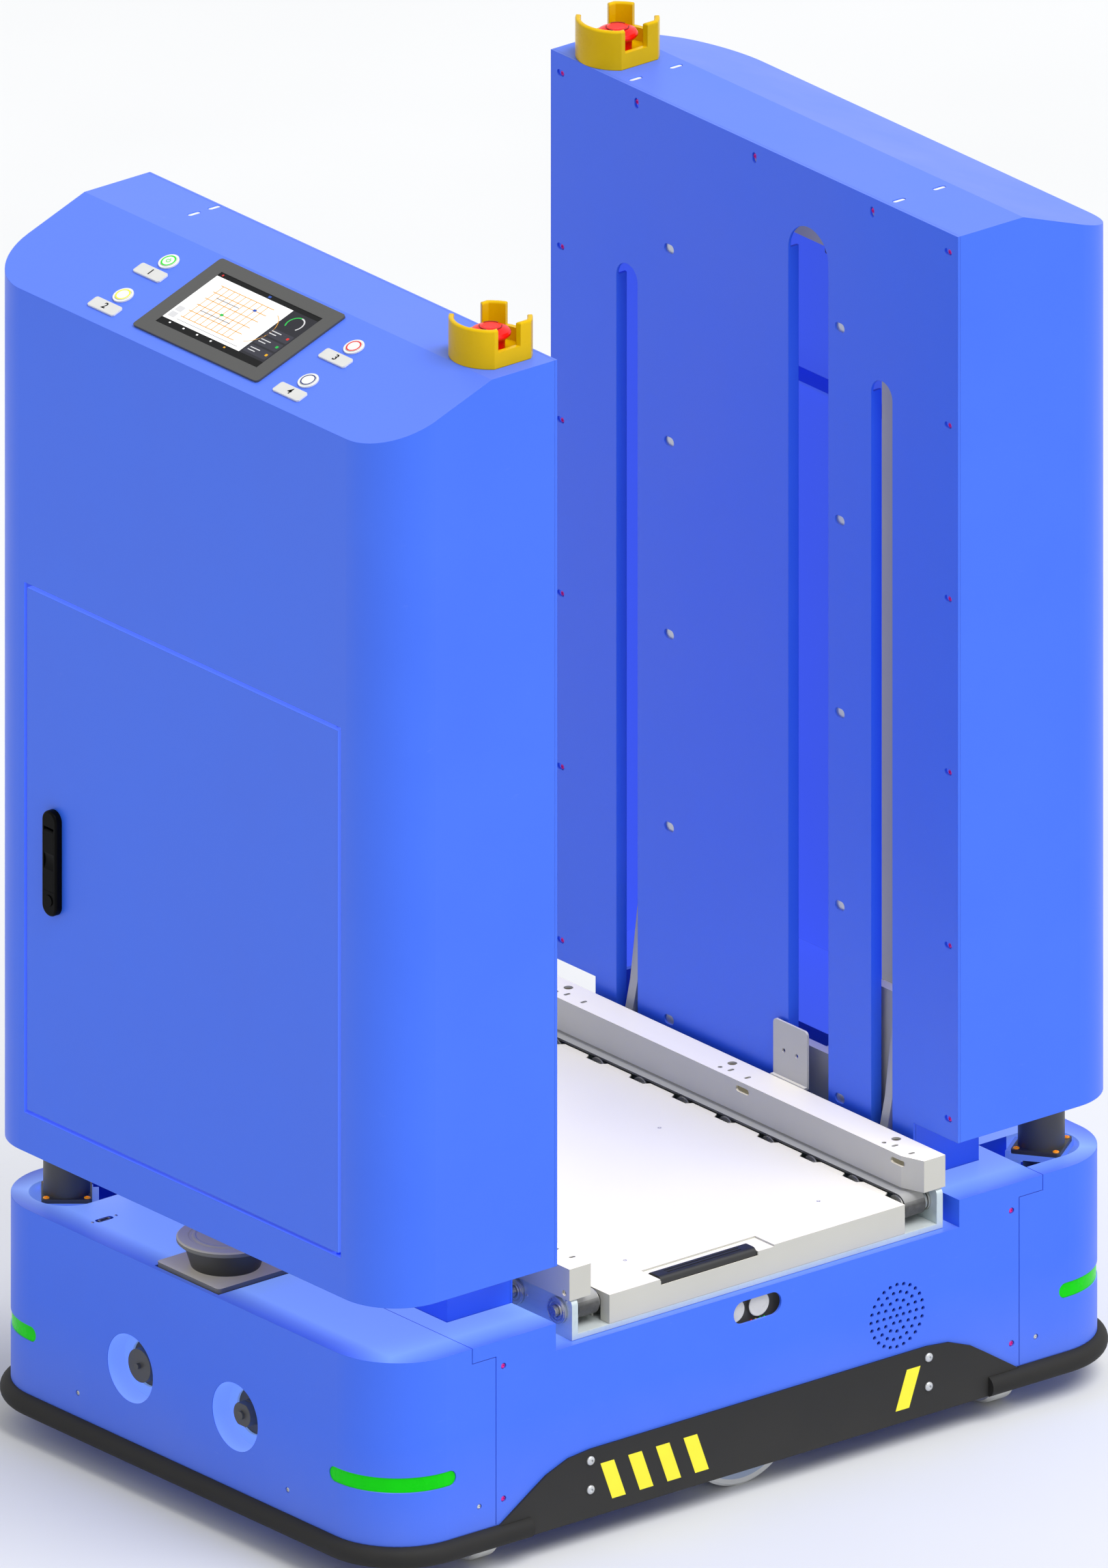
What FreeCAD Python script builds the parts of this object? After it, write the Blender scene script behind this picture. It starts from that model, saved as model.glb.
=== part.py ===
import FreeCAD, Part
import math
import os
from FreeCAD import Matrix, Placement, Rotation, Vector

# Autonomous mobile robot with two towers and a lifting belt conveyor between them.
# Millimetres. +X is the travel direction, towards the right tower, +Y the left hand side, +Z up.
# The origin is on the floor under the middle of the body.

# ------------------------------------------------------------------ clearances and sheets
sheet = 3.0                   # cover, panel and tower sheet
seat = 0.2                    # air between pieces that rest on each other
gap = 0.3                     # air round a piece that passes through another
running = 0.08                # radial clearance of a turning or sliding shaft
seam = 0.8                    # visible joint between two covers

# ------------------------------------------------------------------ base body
base_half_x = 490.0
base_half_y = 330.0
base_corner = 80.0            # vertical corners
base_top = 253.4
cover_bottom = 51.0
seam_low = 345.4              # joint between end and side covers, below the jog
seam_high = 376.6             # the same joint above the jog
jog_z = 236.0
recess_half_x = 266.0         # bay between the towers that the conveyor rests in
recess_floor = 223.4

# ------------------------------------------------------------------ chassis
plate_z = 104.0               # underside of the main plate
plate_t = 6.0
web_t = 6.0
web_y = 244.0                 # side webs, between the drive wheels and the batteries
web_x = 340.0
band_t = 6.0                  # bumper carrier round each end
band_z = 28.0

# ------------------------------------------------------------------ wheels
wheel_r = 75.6
wheel_w = 40.0
wheel_y = 306.0               # outer face of a drive wheel
wheel_shaft_r = 10.0
motor_r = 28.0
motor_len = 168.0
caster_r = 37.5
caster_w = 32.0
caster_x = 340.0
caster_y = 248.0
caster_trail = 33.0
king_pin_r = 6.0
caster_axle_r = 4.0
fork_t = 4.0
fork_disc_r = 32.0

# ------------------------------------------------------------------ skirts and bumpers
skirt_t = 3.0
skirt_bottom = 28.9
skirt_half = 342.0
skirt_end_z = 50.0
skirt_shoulder = ((299.0, 78.0), (280.0, 90.0), (251.0, 101.0), (222.0, 104.0))
skirt_screw_x = 223.0
skirt_screw_z = (60.0, 92.0)
skirt_screw_r = 2.6
bumper_end_x = 302.0
bumper_z = 39.0
bumper_half = 11.5            # half height of the bumper profile
bumper_depth = 11.3

# ------------------------------------------------------------------ details of the covers
light_z = 118.0
light_half = 8.0
light_run = 12.0              # how far a light strip goes past the corner arc
light_t = 4.0
light_sunk = 1.0
port_y = 85.0
port_z = 130.5
port_r = 37.0
port_depth = 23.0
port_hole_r = 25.0
port_flange_t = 4.0
window_z = 202.0
window_len = 63.0
window_h = 25.0
speaker_x = 184.0
speaker_z = 146.6
speaker_rings = 4
speaker_pitch = 8.55
speaker_hole_r = 2.2
speaker_r = 39.0
cover_screw_x = 335.0
cover_screw_z = (77.5, 224.0)
cover_screw_r = 3.4
end_hole_y = 170.0
end_hole_x = 367.0
end_hole_z = 76.8
end_hole_r = 3.0

# ------------------------------------------------------------------ scanners
lidar_x = 427.5
lidar_y = 264.5
lidar_r = 24.2
lidar_top = 308.0
lidar_flange = 52.0
lidar_flange_t = 4.4
lidar_flange_top = 255.0
lidar_yaw = (-39.0, -54.0)    # left and right unit
lidar_neck_r = 19.0
well_r = 38.9
well_depth = 30.0
well_wall = 2.5
scanner_x = 433.0
scanner_plate = 101.5
scanner_plate_t = 6.4
scanner_plate_top = 258.4
scanner_neck_r = 35.75
scanner_cone_r = 44.0
scanner_disc_r = 50.7
scanner_disc_z = 283.9
scanner_disc_t = 6.2
scanner_body_h = 62.0
usb_x = 445.0
usb_y = 182.0
usb_len = 22.0
usb_w = 8.0

# ------------------------------------------------------------------ towers
tower_in = 264.3              # inner face, towards the conveyor
tower_fold = 350.7            # where the flat top turns into the slope
tower_bottom = 316.3
tower_top = 1316.3
tower_corner = 65.0
slope_drop = 50.4             # how much the slope falls to the outer face
neck_half_y = 257.5
neck_wall = 6.0
ledge_z = 947.5
ledge_deep = 25.0
top_slot_y = 213.5
right_slot_x = (281.4, 334.5)  # small slots in the tower tops
left_slot_x = (274.0, 301.0)
top_slot = (16.0, 6.0)

# inner panels
side_slot_y = 206.4           # slots for the lift arms
side_slot_w = 34.5
side_slot_top = 1118.7
mid_slot_y = -87.5
mid_slot_w = 65.0
mid_slot_top = 1251.0
slot_bottom = 228.0
lip = 13.6                    # return flanges along the slots
oval_y = 138.3
oval_z = 1156.4
oval_pitch = 212.6
oval_count = 5
oval_size = (15.5, 10.0)
panel_screw_y = 314.0
panel_screw_z = 1295.2
panel_screw_pitch = 191.3
panel_screw_count = 6
panel_screw_slot = (11.5, 6.5)
panel_top_screw_y = 191.0
panel_top_screw_z = 1300.5

# door in the left tower
door_half_y = 256.5           # opening
door_low = 359.5
door_high = 944.5
door_gap = 4.5
door_flange = 12.0
door_pivot_x = 481.0
door_pivot_y = 243.0
door_pivot_r = 3.0
latch_y = 207.0
latch_z = 651.0
latch_w = 23.5
latch_h = 116.0
latch_proud = 8.0
latch_lever_w = 15.0
latch_lever_top = 691.0
latch_lever_low = 621.0
latch_lever_t = 5.0
latch_button_z = 610.5
latch_button_r = 6.0

# operator panel on the slope of the left tower, distances measured down the slope
hmi_down = 68.0
hmi_w = 202.0
hmi_h = 126.0
hmi_t = 2.6
hmi_body = (186.0, 110.0, 32.0)
screen_w = 163.6
screen_h = 92.4
button_y = 150.0
button_down = (37.0, 101.0)
button_bezel_r = 11.3
button_bezel_t = 2.0
button_tube_r = 10.2
button_bore_r = 8.9
button_cap_r = 8.6
button_proud = 2.6
button_body = 14.0
label_size = (42.0, 15.0, 2.2)
label_down = 23.0
label_shift = 3.0

# emergency stops
estop_x = 307.5
estop_y = 275.0
guard_r = 43.3
guard_flat = 36.0
guard_wall = 5.6
guard_h = 42.8
guard_lip = 17.7
guard_floor = 3.0
guard_gaps = ((66.0, 131.0), (242.0, 286.0), (327.0, 387.0))
guard_round = 2.2
estop_stem_r = 15.0
estop_head_r = 21.0
estop_head_z = 20.6           # underside of the head above the tower top
estop_head_h = 11.2
estop_tail = 14.0             # how far the stem reaches below the tower top

# ------------------------------------------------------------------ lift in the towers
column_y = (148.0, 198.0)
column_x = (312.0, 344.0)
beam_z = (1208.0, 1262.0)
foot_t = 8.0
screw_x = 328.0
screw_y = -55.0               # beside the middle slot, a toothed belt joins it to the motor
screw_r = 8.0
screw_collar_r = 12.0
screw_collar_h = 10.0
pulley_r = 20.0
pulley_h = 6.0
carriage_x = (286.0, 298.0)
carriage_low = 236.0
carriage_mid = 335.0
carriage_high = 437.0
carriage_half_y = 214.0
nut_half = 24.0
nut_z = (262.0, 312.0)
arm_t = 12.0
arm_h = 30.0
lift_motor_x = 428.0
lift_motor_r = 35.0
lift_motor_h = 146.0

# ------------------------------------------------------------------ conveyor
frame_left = -237.5
frame_right = 251.6
frame_half_y = 321.0
frame_floor_t = 5.9
frame_wall = 8.0
frame_wall_top = 268.2
frame_wall_round = 7.0
frame_low = 224.0
deck_left = -188.1
deck_right = 201.6
deck_top = 262.0
deck_sheet = 2.0
belt_left = (-221.5, -194.9)
belt_right = (209.0, 235.6)
roller_y = 299.4
roller_pitch = 69.1
roller_z = 251.6
roller_r = 11.0
roller_hub = 4.5              # roller beyond the outer edge of its belt
belt_t = 2.3
flange_r = 12.2
flange_t = 1.5
shaft_r = 6.0
pulley_fit = 0.02             # radial clearance of a belt pulley on its shaft
shaft_out = 9.0               # shaft end beyond the frame
bearing_r = 14.5
bearing_flange_t = 3.0
bearing_barrel_r = 11.8
bearing_inward = 2.5          # barrel beyond the inner face of the wall
rail_w = 37.2
rail_inset = 3.4              # how far a rail stands out over the frame wall
rail_low = 268.4
rail_top = 303.4
rail_wall = 2.5
rail_flare = 26.3
rail_flare_x = 9.0
rail_group_y = (275.9, 10.2, -255.4)
rail_bolt_r = 5.0
rail_bolt_in = 11.5           # from the outer face
rail_pin_r = 2.5
rail_pin_in = 9.6             # from the inner face
rail_slot = (8.0, 4.0)
rail_slot_in = 13.1
rail_slot_back = (13.4, 40.4)
rail_side_slot = (21.0, 6.5)
rail_side_slot_down = 8.5
rail_side_slot_y = (288.6, -37.5, -288.6)
rail_end_hole_r = 3.2
rail_end_hole = (312.5, 275.0)
stopper_x = (-119.0, 7.0)
stopper_y = (-320.0, -298.0)
stopper_low = 231.5
stopper_top = 263.5
pocket_x = (-121.0, 29.0)
pocket_y = -290.0
pocket_floor_t = 1.3
pocket_clear = 1.0
lip_t = 0.8
lip_h = 24.0
stopper_round = 6.0
stopper_groove = (2.0, 1.5)
stopper_groove_y = (7.0, 12.0)
stopper_groove_end = 14.0
stopper_pin_in = 20.0
pin_r = 3.0
bracket_y = (-92.0, -37.0)
bracket_z = (302.0, 365.0)
bracket_x = 261.5
bracket_t = 2.5
bracket_foot = 17.5
bracket_hole_r = 2.6
bracket_hole_pitch = 21.0
bracket_round = 5.0

# ------------------------------------------------------------------ inside the base
battery = (205.0, 300.0, 92.0)
control = (200.0, 300.0, 80.0)
inner_x = 40.0                # middle gap between battery and control box


# ------------------------------------------------------------------ small helpers
def box(x0, x1, y0, y1, z0, z1):
    low = Vector(min(x0, x1), min(y0, y1), min(z0, z1))
    return Part.makeBox(abs(x1 - x0), abs(y1 - y0), abs(z1 - z0), low)


def rod(r, x, y, z, axis, length):
    return Part.makeCylinder(r, length, Vector(x, y, z), axis)


def fuse(shapes):
    whole = shapes[0]
    if len(shapes) > 1:
        whole = whole.multiFuse(shapes[1:])
    return whole.removeSplitter()


def cut(shape, tools):
    return shape.cut(fuse(tools)) if len(tools) > 1 else shape.cut(tools[0])


def vertical_edges(shape, keep=None):
    found = []
    for edge in shape.Edges:
        a, b = edge.Vertexes[0].Point, edge.Vertexes[-1].Point
        if abs(a.x - b.x) < 1e-6 and abs(a.y - b.y) < 1e-6 and abs(a.z - b.z) > 1e-6:
            if keep is None or keep(a):
                found.append(edge)
    return found


def rounded_block(half_x, half_y, r, z0, z1):
    block = box(-half_x, half_x, -half_y, half_y, z0, z1)
    return block.makeFillet(r, vertical_edges(block))


def prism(points, way):
    corners = [Vector(*p) for p in points]
    face = Part.Face(Part.makePolygon(corners + corners[:1]))
    return face.extrude(way)


def obround(length, width, depth, centre, along, through):
    # slot with round ends: long way "along", cut direction "through", centred on all three
    half = (length - width) / 2.0
    start = centre - through * (depth / 2.0)
    side = along.cross(through)
    pieces = [Part.makeCylinder(width / 2.0, depth, start + along * s, through) for s in (-half, half)]
    if half > 1e-6:
        corners = [start + along * a + side * b for a, b in
                   ((-half, -width / 2.0), (half, -width / 2.0), (half, width / 2.0), (-half, width / 2.0))]
        face = Part.Face(Part.makePolygon(corners + corners[:1]))
        pieces.append(face.extrude(through * depth))
    return fuse(pieces)


def mirror_x(shape):
    return shape.mirror(Vector(0, 0, 0), Vector(1, 0, 0))


def mirror_y(shape):
    return shape.mirror(Vector(0, 0, 0), Vector(0, 1, 0))


def revolve(points, origin, axis):
    # closed profile of (radius, height) turned about an axis through origin
    helper = Vector(1, 0, 0) if abs(axis.x) < 0.5 else Vector(0, 1, 0)
    radial = (helper - axis * helper.dot(axis)).normalize()
    corners = [origin + radial * r + axis * h for r, h in points]
    face = Part.Face(Part.makePolygon(corners + corners[:1]))
    return face.revolve(origin, axis, 360)


def save(node, shapes):
    solids = []
    for shape in shapes:
        solids += shape.Solids
    for solid in solids:
        if not solid.isValid():
            print("not valid:", node)
    whole = solids[0] if len(solids) == 1 else Part.makeCompound(solids)
    whole.exportStep("parts/%s.step" % node)
    print("%-22s %2d solids" % (node, len(solids)))


axis_x = Vector(1, 0, 0)
axis_y = Vector(0, 1, 0)
axis_z = Vector(0, 0, 1)


# ------------------------------------------------------------------ base covers
def base_shell():
    outer = rounded_block(base_half_x, base_half_y, base_corner, cover_bottom, base_top)
    inner = rounded_block(base_half_x - sheet, base_half_y - sheet, base_corner - sheet,
                          cover_bottom - 1, base_top - sheet)
    return outer.cut(inner)


def light_band(out, deep, half, end_r):
    # band round the +X +Y corner between two depths below the skin, with round ends
    cx, cy = base_half_x - base_corner, base_half_y - base_corner
    ring = rod(base_corner - out, cx, cy, light_z - half, axis_z, 2 * half)
    ring = ring.cut(rod(base_corner - deep, cx, cy, light_z - half, axis_z, 2 * half))
    ring = ring.common(box(cx, cx + 200, cy, cy + 200, light_z - half, light_z + half))
    run = light_run - light_half
    pieces = [ring,
              box(base_half_x - deep, base_half_x - out, cy - run, cy, light_z - half, light_z + half),
              box(cx - run, cx, base_half_y - deep, base_half_y - out, light_z - half, light_z + half),
              rod(end_r, base_half_x - deep, cy - run, light_z, axis_x, deep - out),
              rod(end_r, cx - run, base_half_y - deep, light_z, axis_y, deep - out)]
    return fuse(pieces)


def corner_copies(shape):
    return [shape, mirror_x(shape), mirror_y(shape), mirror_x(mirror_y(shape))]


def well_plan(r, z0, z1):
    # stadium round the corner scanner of the +X -Y corner, open towards the side cover
    reach = lidar_x - seam_high + 1
    straight = box(lidar_x - reach, lidar_x, -lidar_y - r, -lidar_y + r, z0, z1)
    return fuse([rod(r, lidar_x, -lidar_y, z0, axis_z, z1 - z0), straight])


def end_cover():
    # the +X end with its corner scanner well at the -Y corner
    high = box(seam_high, base_half_x + 1, -base_half_y - 1, base_half_y + 1, jog_z, base_top + 1)
    low = box(seam_low, base_half_x + 1, -base_half_y - 1, base_half_y + 1, cover_bottom - 1, jog_z)
    cover = base_shell().common(fuse([high, low]))
    wall = well_plan(well_r + well_wall, base_top - sheet - well_depth, base_top - sheet)
    wall = wall.common(box(seam_high, base_half_x - sheet - seat, -base_half_y + sheet + seat, 0,
                           0, base_top))
    cover = fuse([cover, wall])
    openings = [well_plan(well_r, base_top - sheet - well_depth - 1, base_top + 1)]
    band = light_band(-1, sheet + 1, light_half + gap, light_half + gap)
    openings += [band, mirror_y(band)]
    for side in (-1, 1):
        openings.append(rod(end_hole_r, base_half_x - sheet - 1, side * end_hole_y, end_hole_z,
                            axis_x, sheet + 2))
        openings.append(rod(end_hole_r, end_hole_x, side * (base_half_y - sheet / 2) - (sheet + 2) / 2,
                            end_hole_z, axis_y, sheet + 2))
    return cut(cover, openings)


def left_end_cover():
    cover = mirror_x(mirror_y(end_cover()))
    back = -base_half_x + port_depth
    cups = []
    openings = []
    for side in (-1, 1):
        y = side * port_y
        cups.append(rod(port_r + sheet, -base_half_x + sheet / 2, y, port_z, axis_x, port_depth + sheet / 2))
        openings.append(rod(port_r, -base_half_x - 1, y, port_z, axis_x, port_depth + 1))
        openings.append(rod(port_hole_r, back - 1, y, port_z, axis_x, sheet + 2))
    half = scanner_plate / 2 + 1
    openings.append(box(-scanner_x - half, -scanner_x + half, -half, half, base_top - sheet - 1, base_top + 1))
    openings.append(obround(usb_len, usb_w, sheet + 2, Vector(-usb_x, usb_y, base_top - sheet / 2),
                            axis_x, axis_z))
    return cut(fuse([cover] + cups), openings)


def side_cover():
    # the -Y side: face, top, and its half of the conveyor bay
    low = box(-seam_low + seam, seam_low - seam, -base_half_y - 1, -seam / 2, cover_bottom - 1, jog_z + seam)
    high = box(-seam_high + seam, seam_high - seam, -base_half_y - 1, -seam / 2, jog_z + seam, base_top + 1)
    cover = base_shell().common(fuse([low, high]))
    bay = box(-recess_half_x, recess_half_x, -base_half_y - 1, 1, recess_floor, base_top + 1)
    lining = box(-recess_half_x - sheet, recess_half_x + sheet, -base_half_y, -seam / 2,
                 recess_floor - sheet, base_top)
    cover = cut(fuse([cover, lining]), [bay])
    room = seat + gap
    openings = []
    for side in (-1, 1):
        openings.append(box(side * (tower_in - room), side * (tower_fold + room),
                            -neck_half_y - room, 1, recess_floor - sheet - 1, base_top + 1))
        for z in cover_screw_z:
            openings.append(rod(cover_screw_r, side * cover_screw_x, -base_half_y - 1, z, axis_y, sheet + 2))
    return cut(cover, openings)


def grille_holes():
    holes = [(0.0, 0.0)]
    for ring in range(1, speaker_rings + 1):
        count = 6 * ring
        for i in range(count):
            turn = 2 * math.pi * i / count
            holes.append((ring * speaker_pitch * math.cos(turn), ring * speaker_pitch * math.sin(turn)))
    return holes


def front_side_cover():
    y = -base_half_y - 1
    openings = [obround(window_len, window_h, sheet + 2,
                        Vector(0, -base_half_y + sheet / 2, window_z), axis_x, axis_y)]
    for dx, dz in grille_holes():
        openings.append(rod(speaker_hole_r, speaker_x + dx, y, speaker_z + dz, axis_y, sheet + 2))
    return side_cover().cut(Part.makeCompound(openings))


def skirt():
    profile = [(skirt_half, skirt_end_z)] + list(skirt_shoulder)
    right = [(x, -base_half_y - seat, z) for x, z in profile]
    left = [(-x, y, z) for x, y, z in reversed(right)]
    low = [(-skirt_half, -base_half_y - seat, skirt_bottom), (skirt_half, -base_half_y - seat, skirt_bottom)]
    plate = prism(low + right + left, Vector(0, -skirt_t + seat, 0))
    holes = [rod(skirt_screw_r, side * skirt_screw_x, -base_half_y - skirt_t - 1, z, axis_y, skirt_t + 2)
             for side in (-1, 1) for z in skirt_screw_z]
    return cut(plate, holes)


def bumper_profile(origin, out):
    # half round section: flat back at origin, bulging along "out"
    low = origin - axis_z * bumper_half
    high = origin + axis_z * bumper_half
    arc = Part.Arc(low, origin + out * bumper_depth, high).toShape()
    return Part.Face(Part.Wire([arc, Part.makeLine(high, low)]))


def bumper():
    # wraps the +X end
    cx, cy = base_half_x - base_corner, base_half_y - base_corner
    side = bumper_profile(Vector(bumper_end_x, base_half_y, bumper_z), axis_y)
    side = side.extrude(Vector(cx - bumper_end_x, 0, 0))
    turn = bumper_profile(Vector(cx, base_half_y, bumper_z), axis_y)
    turn = turn.revolve(Vector(cx, cy, 0), axis_z, -90)
    front = bumper_profile(Vector(base_half_x, -cy, bumper_z), axis_x).extrude(Vector(0, 2 * cy, 0))
    body = fuse([front, turn, mirror_y(turn), side, mirror_y(side)])
    skirts = [box(bumper_end_x - 1, skirt_half + gap, s * (base_half_y - 1),
                  s * (base_half_y + skirt_t + seat), 0, base_top) for s in (-1, 1)]
    return cut(body, skirts)


# ------------------------------------------------------------------ chassis
def ring_band(outer, inner, z0, z1):
    # outline of the base pulled in by "outer" and "inner"
    a = rounded_block(base_half_x - outer, base_half_y - outer, base_corner - outer, z0, z1)
    b = rounded_block(base_half_x - inner, base_half_y - inner, base_corner - inner, z0, z1)
    return a.cut(b)


def lidar_shelf(side):
    # shelf under one corner scanner, on its own upright
    yaw = lidar_yaw[0] if side < 0 else lidar_yaw[1]
    top = lidar_flange_top - lidar_flange_t - seat
    half = lidar_flange / 2 + 1
    shelf = box(-half, half, -half, half, top - web_t, top)
    shelf = shelf.cut(rod(lidar_neck_r + 1, 0, 0, top - web_t - 1, axis_z, web_t + 2))
    upright = box(-half - web_t, -half, -20, 20, plate_z + plate_t - 1, top)
    whole = fuse([shelf, upright])
    whole.Placement = Placement(Vector(side * lidar_x, -side * lidar_y, 0),
                                Rotation(axis_z, yaw if side > 0 else yaw + 180))
    return whole


def caster_boss(sx, sy):
    boss = rod(fork_disc_r + 2, sx * caster_x, sy * caster_y, plate_z - 7, axis_z, 8)
    return boss


def motor_plate(side):
    y0 = side * (wheel_y - wheel_w - 7.5)
    y1 = side * (wheel_y - wheel_w - 2.0)
    return box(-45, 45, y0, y1, 40, plate_z + 1)


def port_clearance(side):
    return rod(port_r + sheet + 1, -base_half_x - 1, side * port_y, port_z, axis_x,
               port_depth + 3 * port_flange_t)


def bumper_carrier():
    # +X end: band under the main plate that the bumper is screwed to
    inside = sheet + gap
    zone = box(bumper_end_x, base_half_x + 1, -base_half_y, base_half_y, 0, plate_z + 1)
    low = ring_band(seat, band_t + seat, band_z, cover_bottom - seat).common(zone)
    high = ring_band(inside, band_t + seat, cover_bottom - seat - 1, plate_z - seat).common(zone)
    return fuse([low, high])


def chassis_frame():
    inside = sheet + gap
    top = recess_floor - sheet - seat
    main = rounded_block(base_half_x - inside, base_half_y - inside, base_corner - inside,
                         plate_z, plate_z + plate_t)
    webs = []
    for side in (-1, 1):
        webs.append(box(-web_x, web_x, side * web_y, side * (web_y + web_t), plate_z + plate_t - 1, top))
        webs.append(box(side * web_x, side * (web_x + web_t), -web_y - web_t, web_y + web_t,
                        plate_z + plate_t - 1, top))
    lid = box(-tower_fold, tower_fold, -neck_half_y, neck_half_y, top - plate_t, top)
    lid = lid.cut(rounded_block(200, 180, 20, top - plate_t - 1, top + 1))
    half = scanner_plate / 2 - 6
    shelf_top = scanner_plate_top - scanner_plate_t - scanner_body_h - seat
    stand = [box(-scanner_x - half, -scanner_x + half, -half - web_t, half + web_t, shelf_top - web_t, shelf_top)]
    for side in (-1, 1):
        stand.append(box(-scanner_x - 30, -scanner_x + 30, side * half, side * (half + web_t),
                         plate_z + plate_t - 1, shelf_top))
    corners = [(sx, sy) for sx in (-1, 1) for sy in (-1, 1)]
    bosses = [caster_boss(sx, sy) for sx, sy in corners]
    plates = [motor_plate(side) for side in (-1, 1)]
    whole = fuse([main, lid] + webs + stand + bosses + plates + [lidar_shelf(-1), lidar_shelf(1)])
    openings = []
    for side in (-1, 1):
        openings.append(box(-wheel_r - 8, wheel_r + 8, side * (wheel_y - wheel_w - 1.5),
                            side * (base_half_y + 1), 0, plate_z + plate_t + 1))
        openings.append(rod(wheel_shaft_r + 3, 0, side * (wheel_y - wheel_w - 8) - 10, wheel_r, axis_y, 20))
        openings.append(port_clearance(side))
    for sx, sy in corners:
        openings.append(rod(king_pin_r + running, sx * caster_x, sy * caster_y, plate_z - 8,
                            axis_z, plate_t + 10))
    openings.append(rod(speaker_r + 1, speaker_x, -base_half_y, speaker_z, axis_y, 30))
    return cut(whole, openings)


def neck():
    # standing on the chassis, open towards the conveyor, closed there by the inner panel
    x0 = tower_in + sheet + seat
    low = recess_floor - sheet
    high = tower_bottom - seat
    outer = box(x0, tower_fold, -neck_half_y, neck_half_y, low, high)
    inner = box(x0 - 1, tower_fold - neck_wall, -neck_half_y + neck_wall, neck_half_y - neck_wall,
                low - 1, high + 1)
    return outer.cut(inner)


# ------------------------------------------------------------------ towers
slope_angle = math.atan2(slope_drop, base_half_x - tower_fold)


def tower_block(inset, low, x0):
    # outside of the +X tower pulled in by "inset": round outer corners and a sloped roof
    high = tower_top - inset
    block = box(x0, base_half_x - inset, -base_half_y + inset, base_half_y - inset, low, high)
    block = block.makeFillet(tower_corner - inset, vertical_edges(block, lambda p: p.x > tower_fold))
    fold = tower_fold - inset * math.tan(slope_angle / 2)
    far = base_half_x + 10
    drop = (far - fold) * math.tan(slope_angle)
    wedge = prism([(fold, -base_half_y, high), (far, -base_half_y, high - drop), (far, -base_half_y, high + 1),
                   (fold, -base_half_y, high + 1)], Vector(0, 2 * base_half_y, 0))
    return block.cut(wedge)


def estop_centre(side):
    return Vector(side * estop_x, side * estop_y, tower_top)


def tower_shell(slot_x):
    # +X tower
    x0 = tower_in + sheet + seat
    shell = tower_block(0, tower_bottom, x0).cut(tower_block(sheet, tower_bottom + sheet, x0 - 5))
    ledge = box(base_half_x - sheet - ledge_deep, base_half_x - sheet / 2, -door_half_y, door_half_y,
                ledge_z, ledge_z + sheet)
    shell = fuse([shell, ledge])
    openings = [box(x0 - 5, tower_fold - neck_wall - gap, -neck_half_y + neck_wall + gap,
                    neck_half_y - neck_wall - gap, tower_bottom - 1, tower_bottom + sheet + 1)]
    for x in slot_x:
        for side in (-1, 1):
            openings.append(obround(top_slot[0], top_slot[1], sheet + 2,
                                    Vector(x, side * top_slot_y, tower_top - sheet / 2), axis_x, axis_z))
    return cut(shell, openings)


def estop_hole(side):
    centre = estop_centre(side)
    return rod(estop_stem_r + gap, centre.x, centre.y, tower_top - sheet - 1, axis_z, sheet + 2)


def slope_place():
    # frame on the slope of the -X tower: x along +Y, y down the slope, z out of it, origin on the fold
    down = Vector(-math.cos(slope_angle), 0, -math.sin(slope_angle))
    out = Vector(-math.sin(slope_angle), 0, math.cos(slope_angle))
    turn = Matrix(0, down.x, out.x, -tower_fold,
                  1, down.y, out.y, 0,
                  0, down.z, out.z, tower_top,
                  0, 0, 0, 1)
    return Placement(turn)


def on_slope(shape):
    shape.Placement = slope_place().multiply(shape.Placement)
    return shape


def buttons():
    return [(side * button_y, down) for side in (1, -1) for down in button_down]


def left_tower_shell():
    shell = mirror_x(tower_shell(left_slot_x))
    openings = [box(-base_half_x - 1, -base_half_x + sheet + 1, -door_half_y, door_half_y, door_low, door_high)]
    half_w, half_h = hmi_body[0] / 2 + gap, hmi_body[1] / 2 + gap
    openings.append(on_slope(box(-half_w, half_w, hmi_down - half_h, hmi_down + half_h, -sheet - 2, 2)))
    for y, down in buttons():
        openings.append(on_slope(rod(button_tube_r + gap, y, down, -sheet - 2, axis_z, sheet + 4)))
    openings.append(estop_hole(-1))
    shell = cut(shell, openings)
    # pivot lugs of the door, above and below the opening
    lugs = []
    for z, way in ((door_high, 1), (door_low, -1)):
        root = z + way * 1.5
        lugs.append(box(-base_half_x + sheet / 2, -door_pivot_x + 7, -door_pivot_y - 8, -door_pivot_y + 8,
                        root, root + way * 5))
        tip = z - way * (door_gap + sheet + 6)
        lugs.append(rod(door_pivot_r, -door_pivot_x, -door_pivot_y, min(root, tip), axis_z, abs(root - tip)))
    return fuse([shell] + lugs)


def right_tower_shell():
    return tower_shell(right_slot_x).cut(estop_hole(1))


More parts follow.
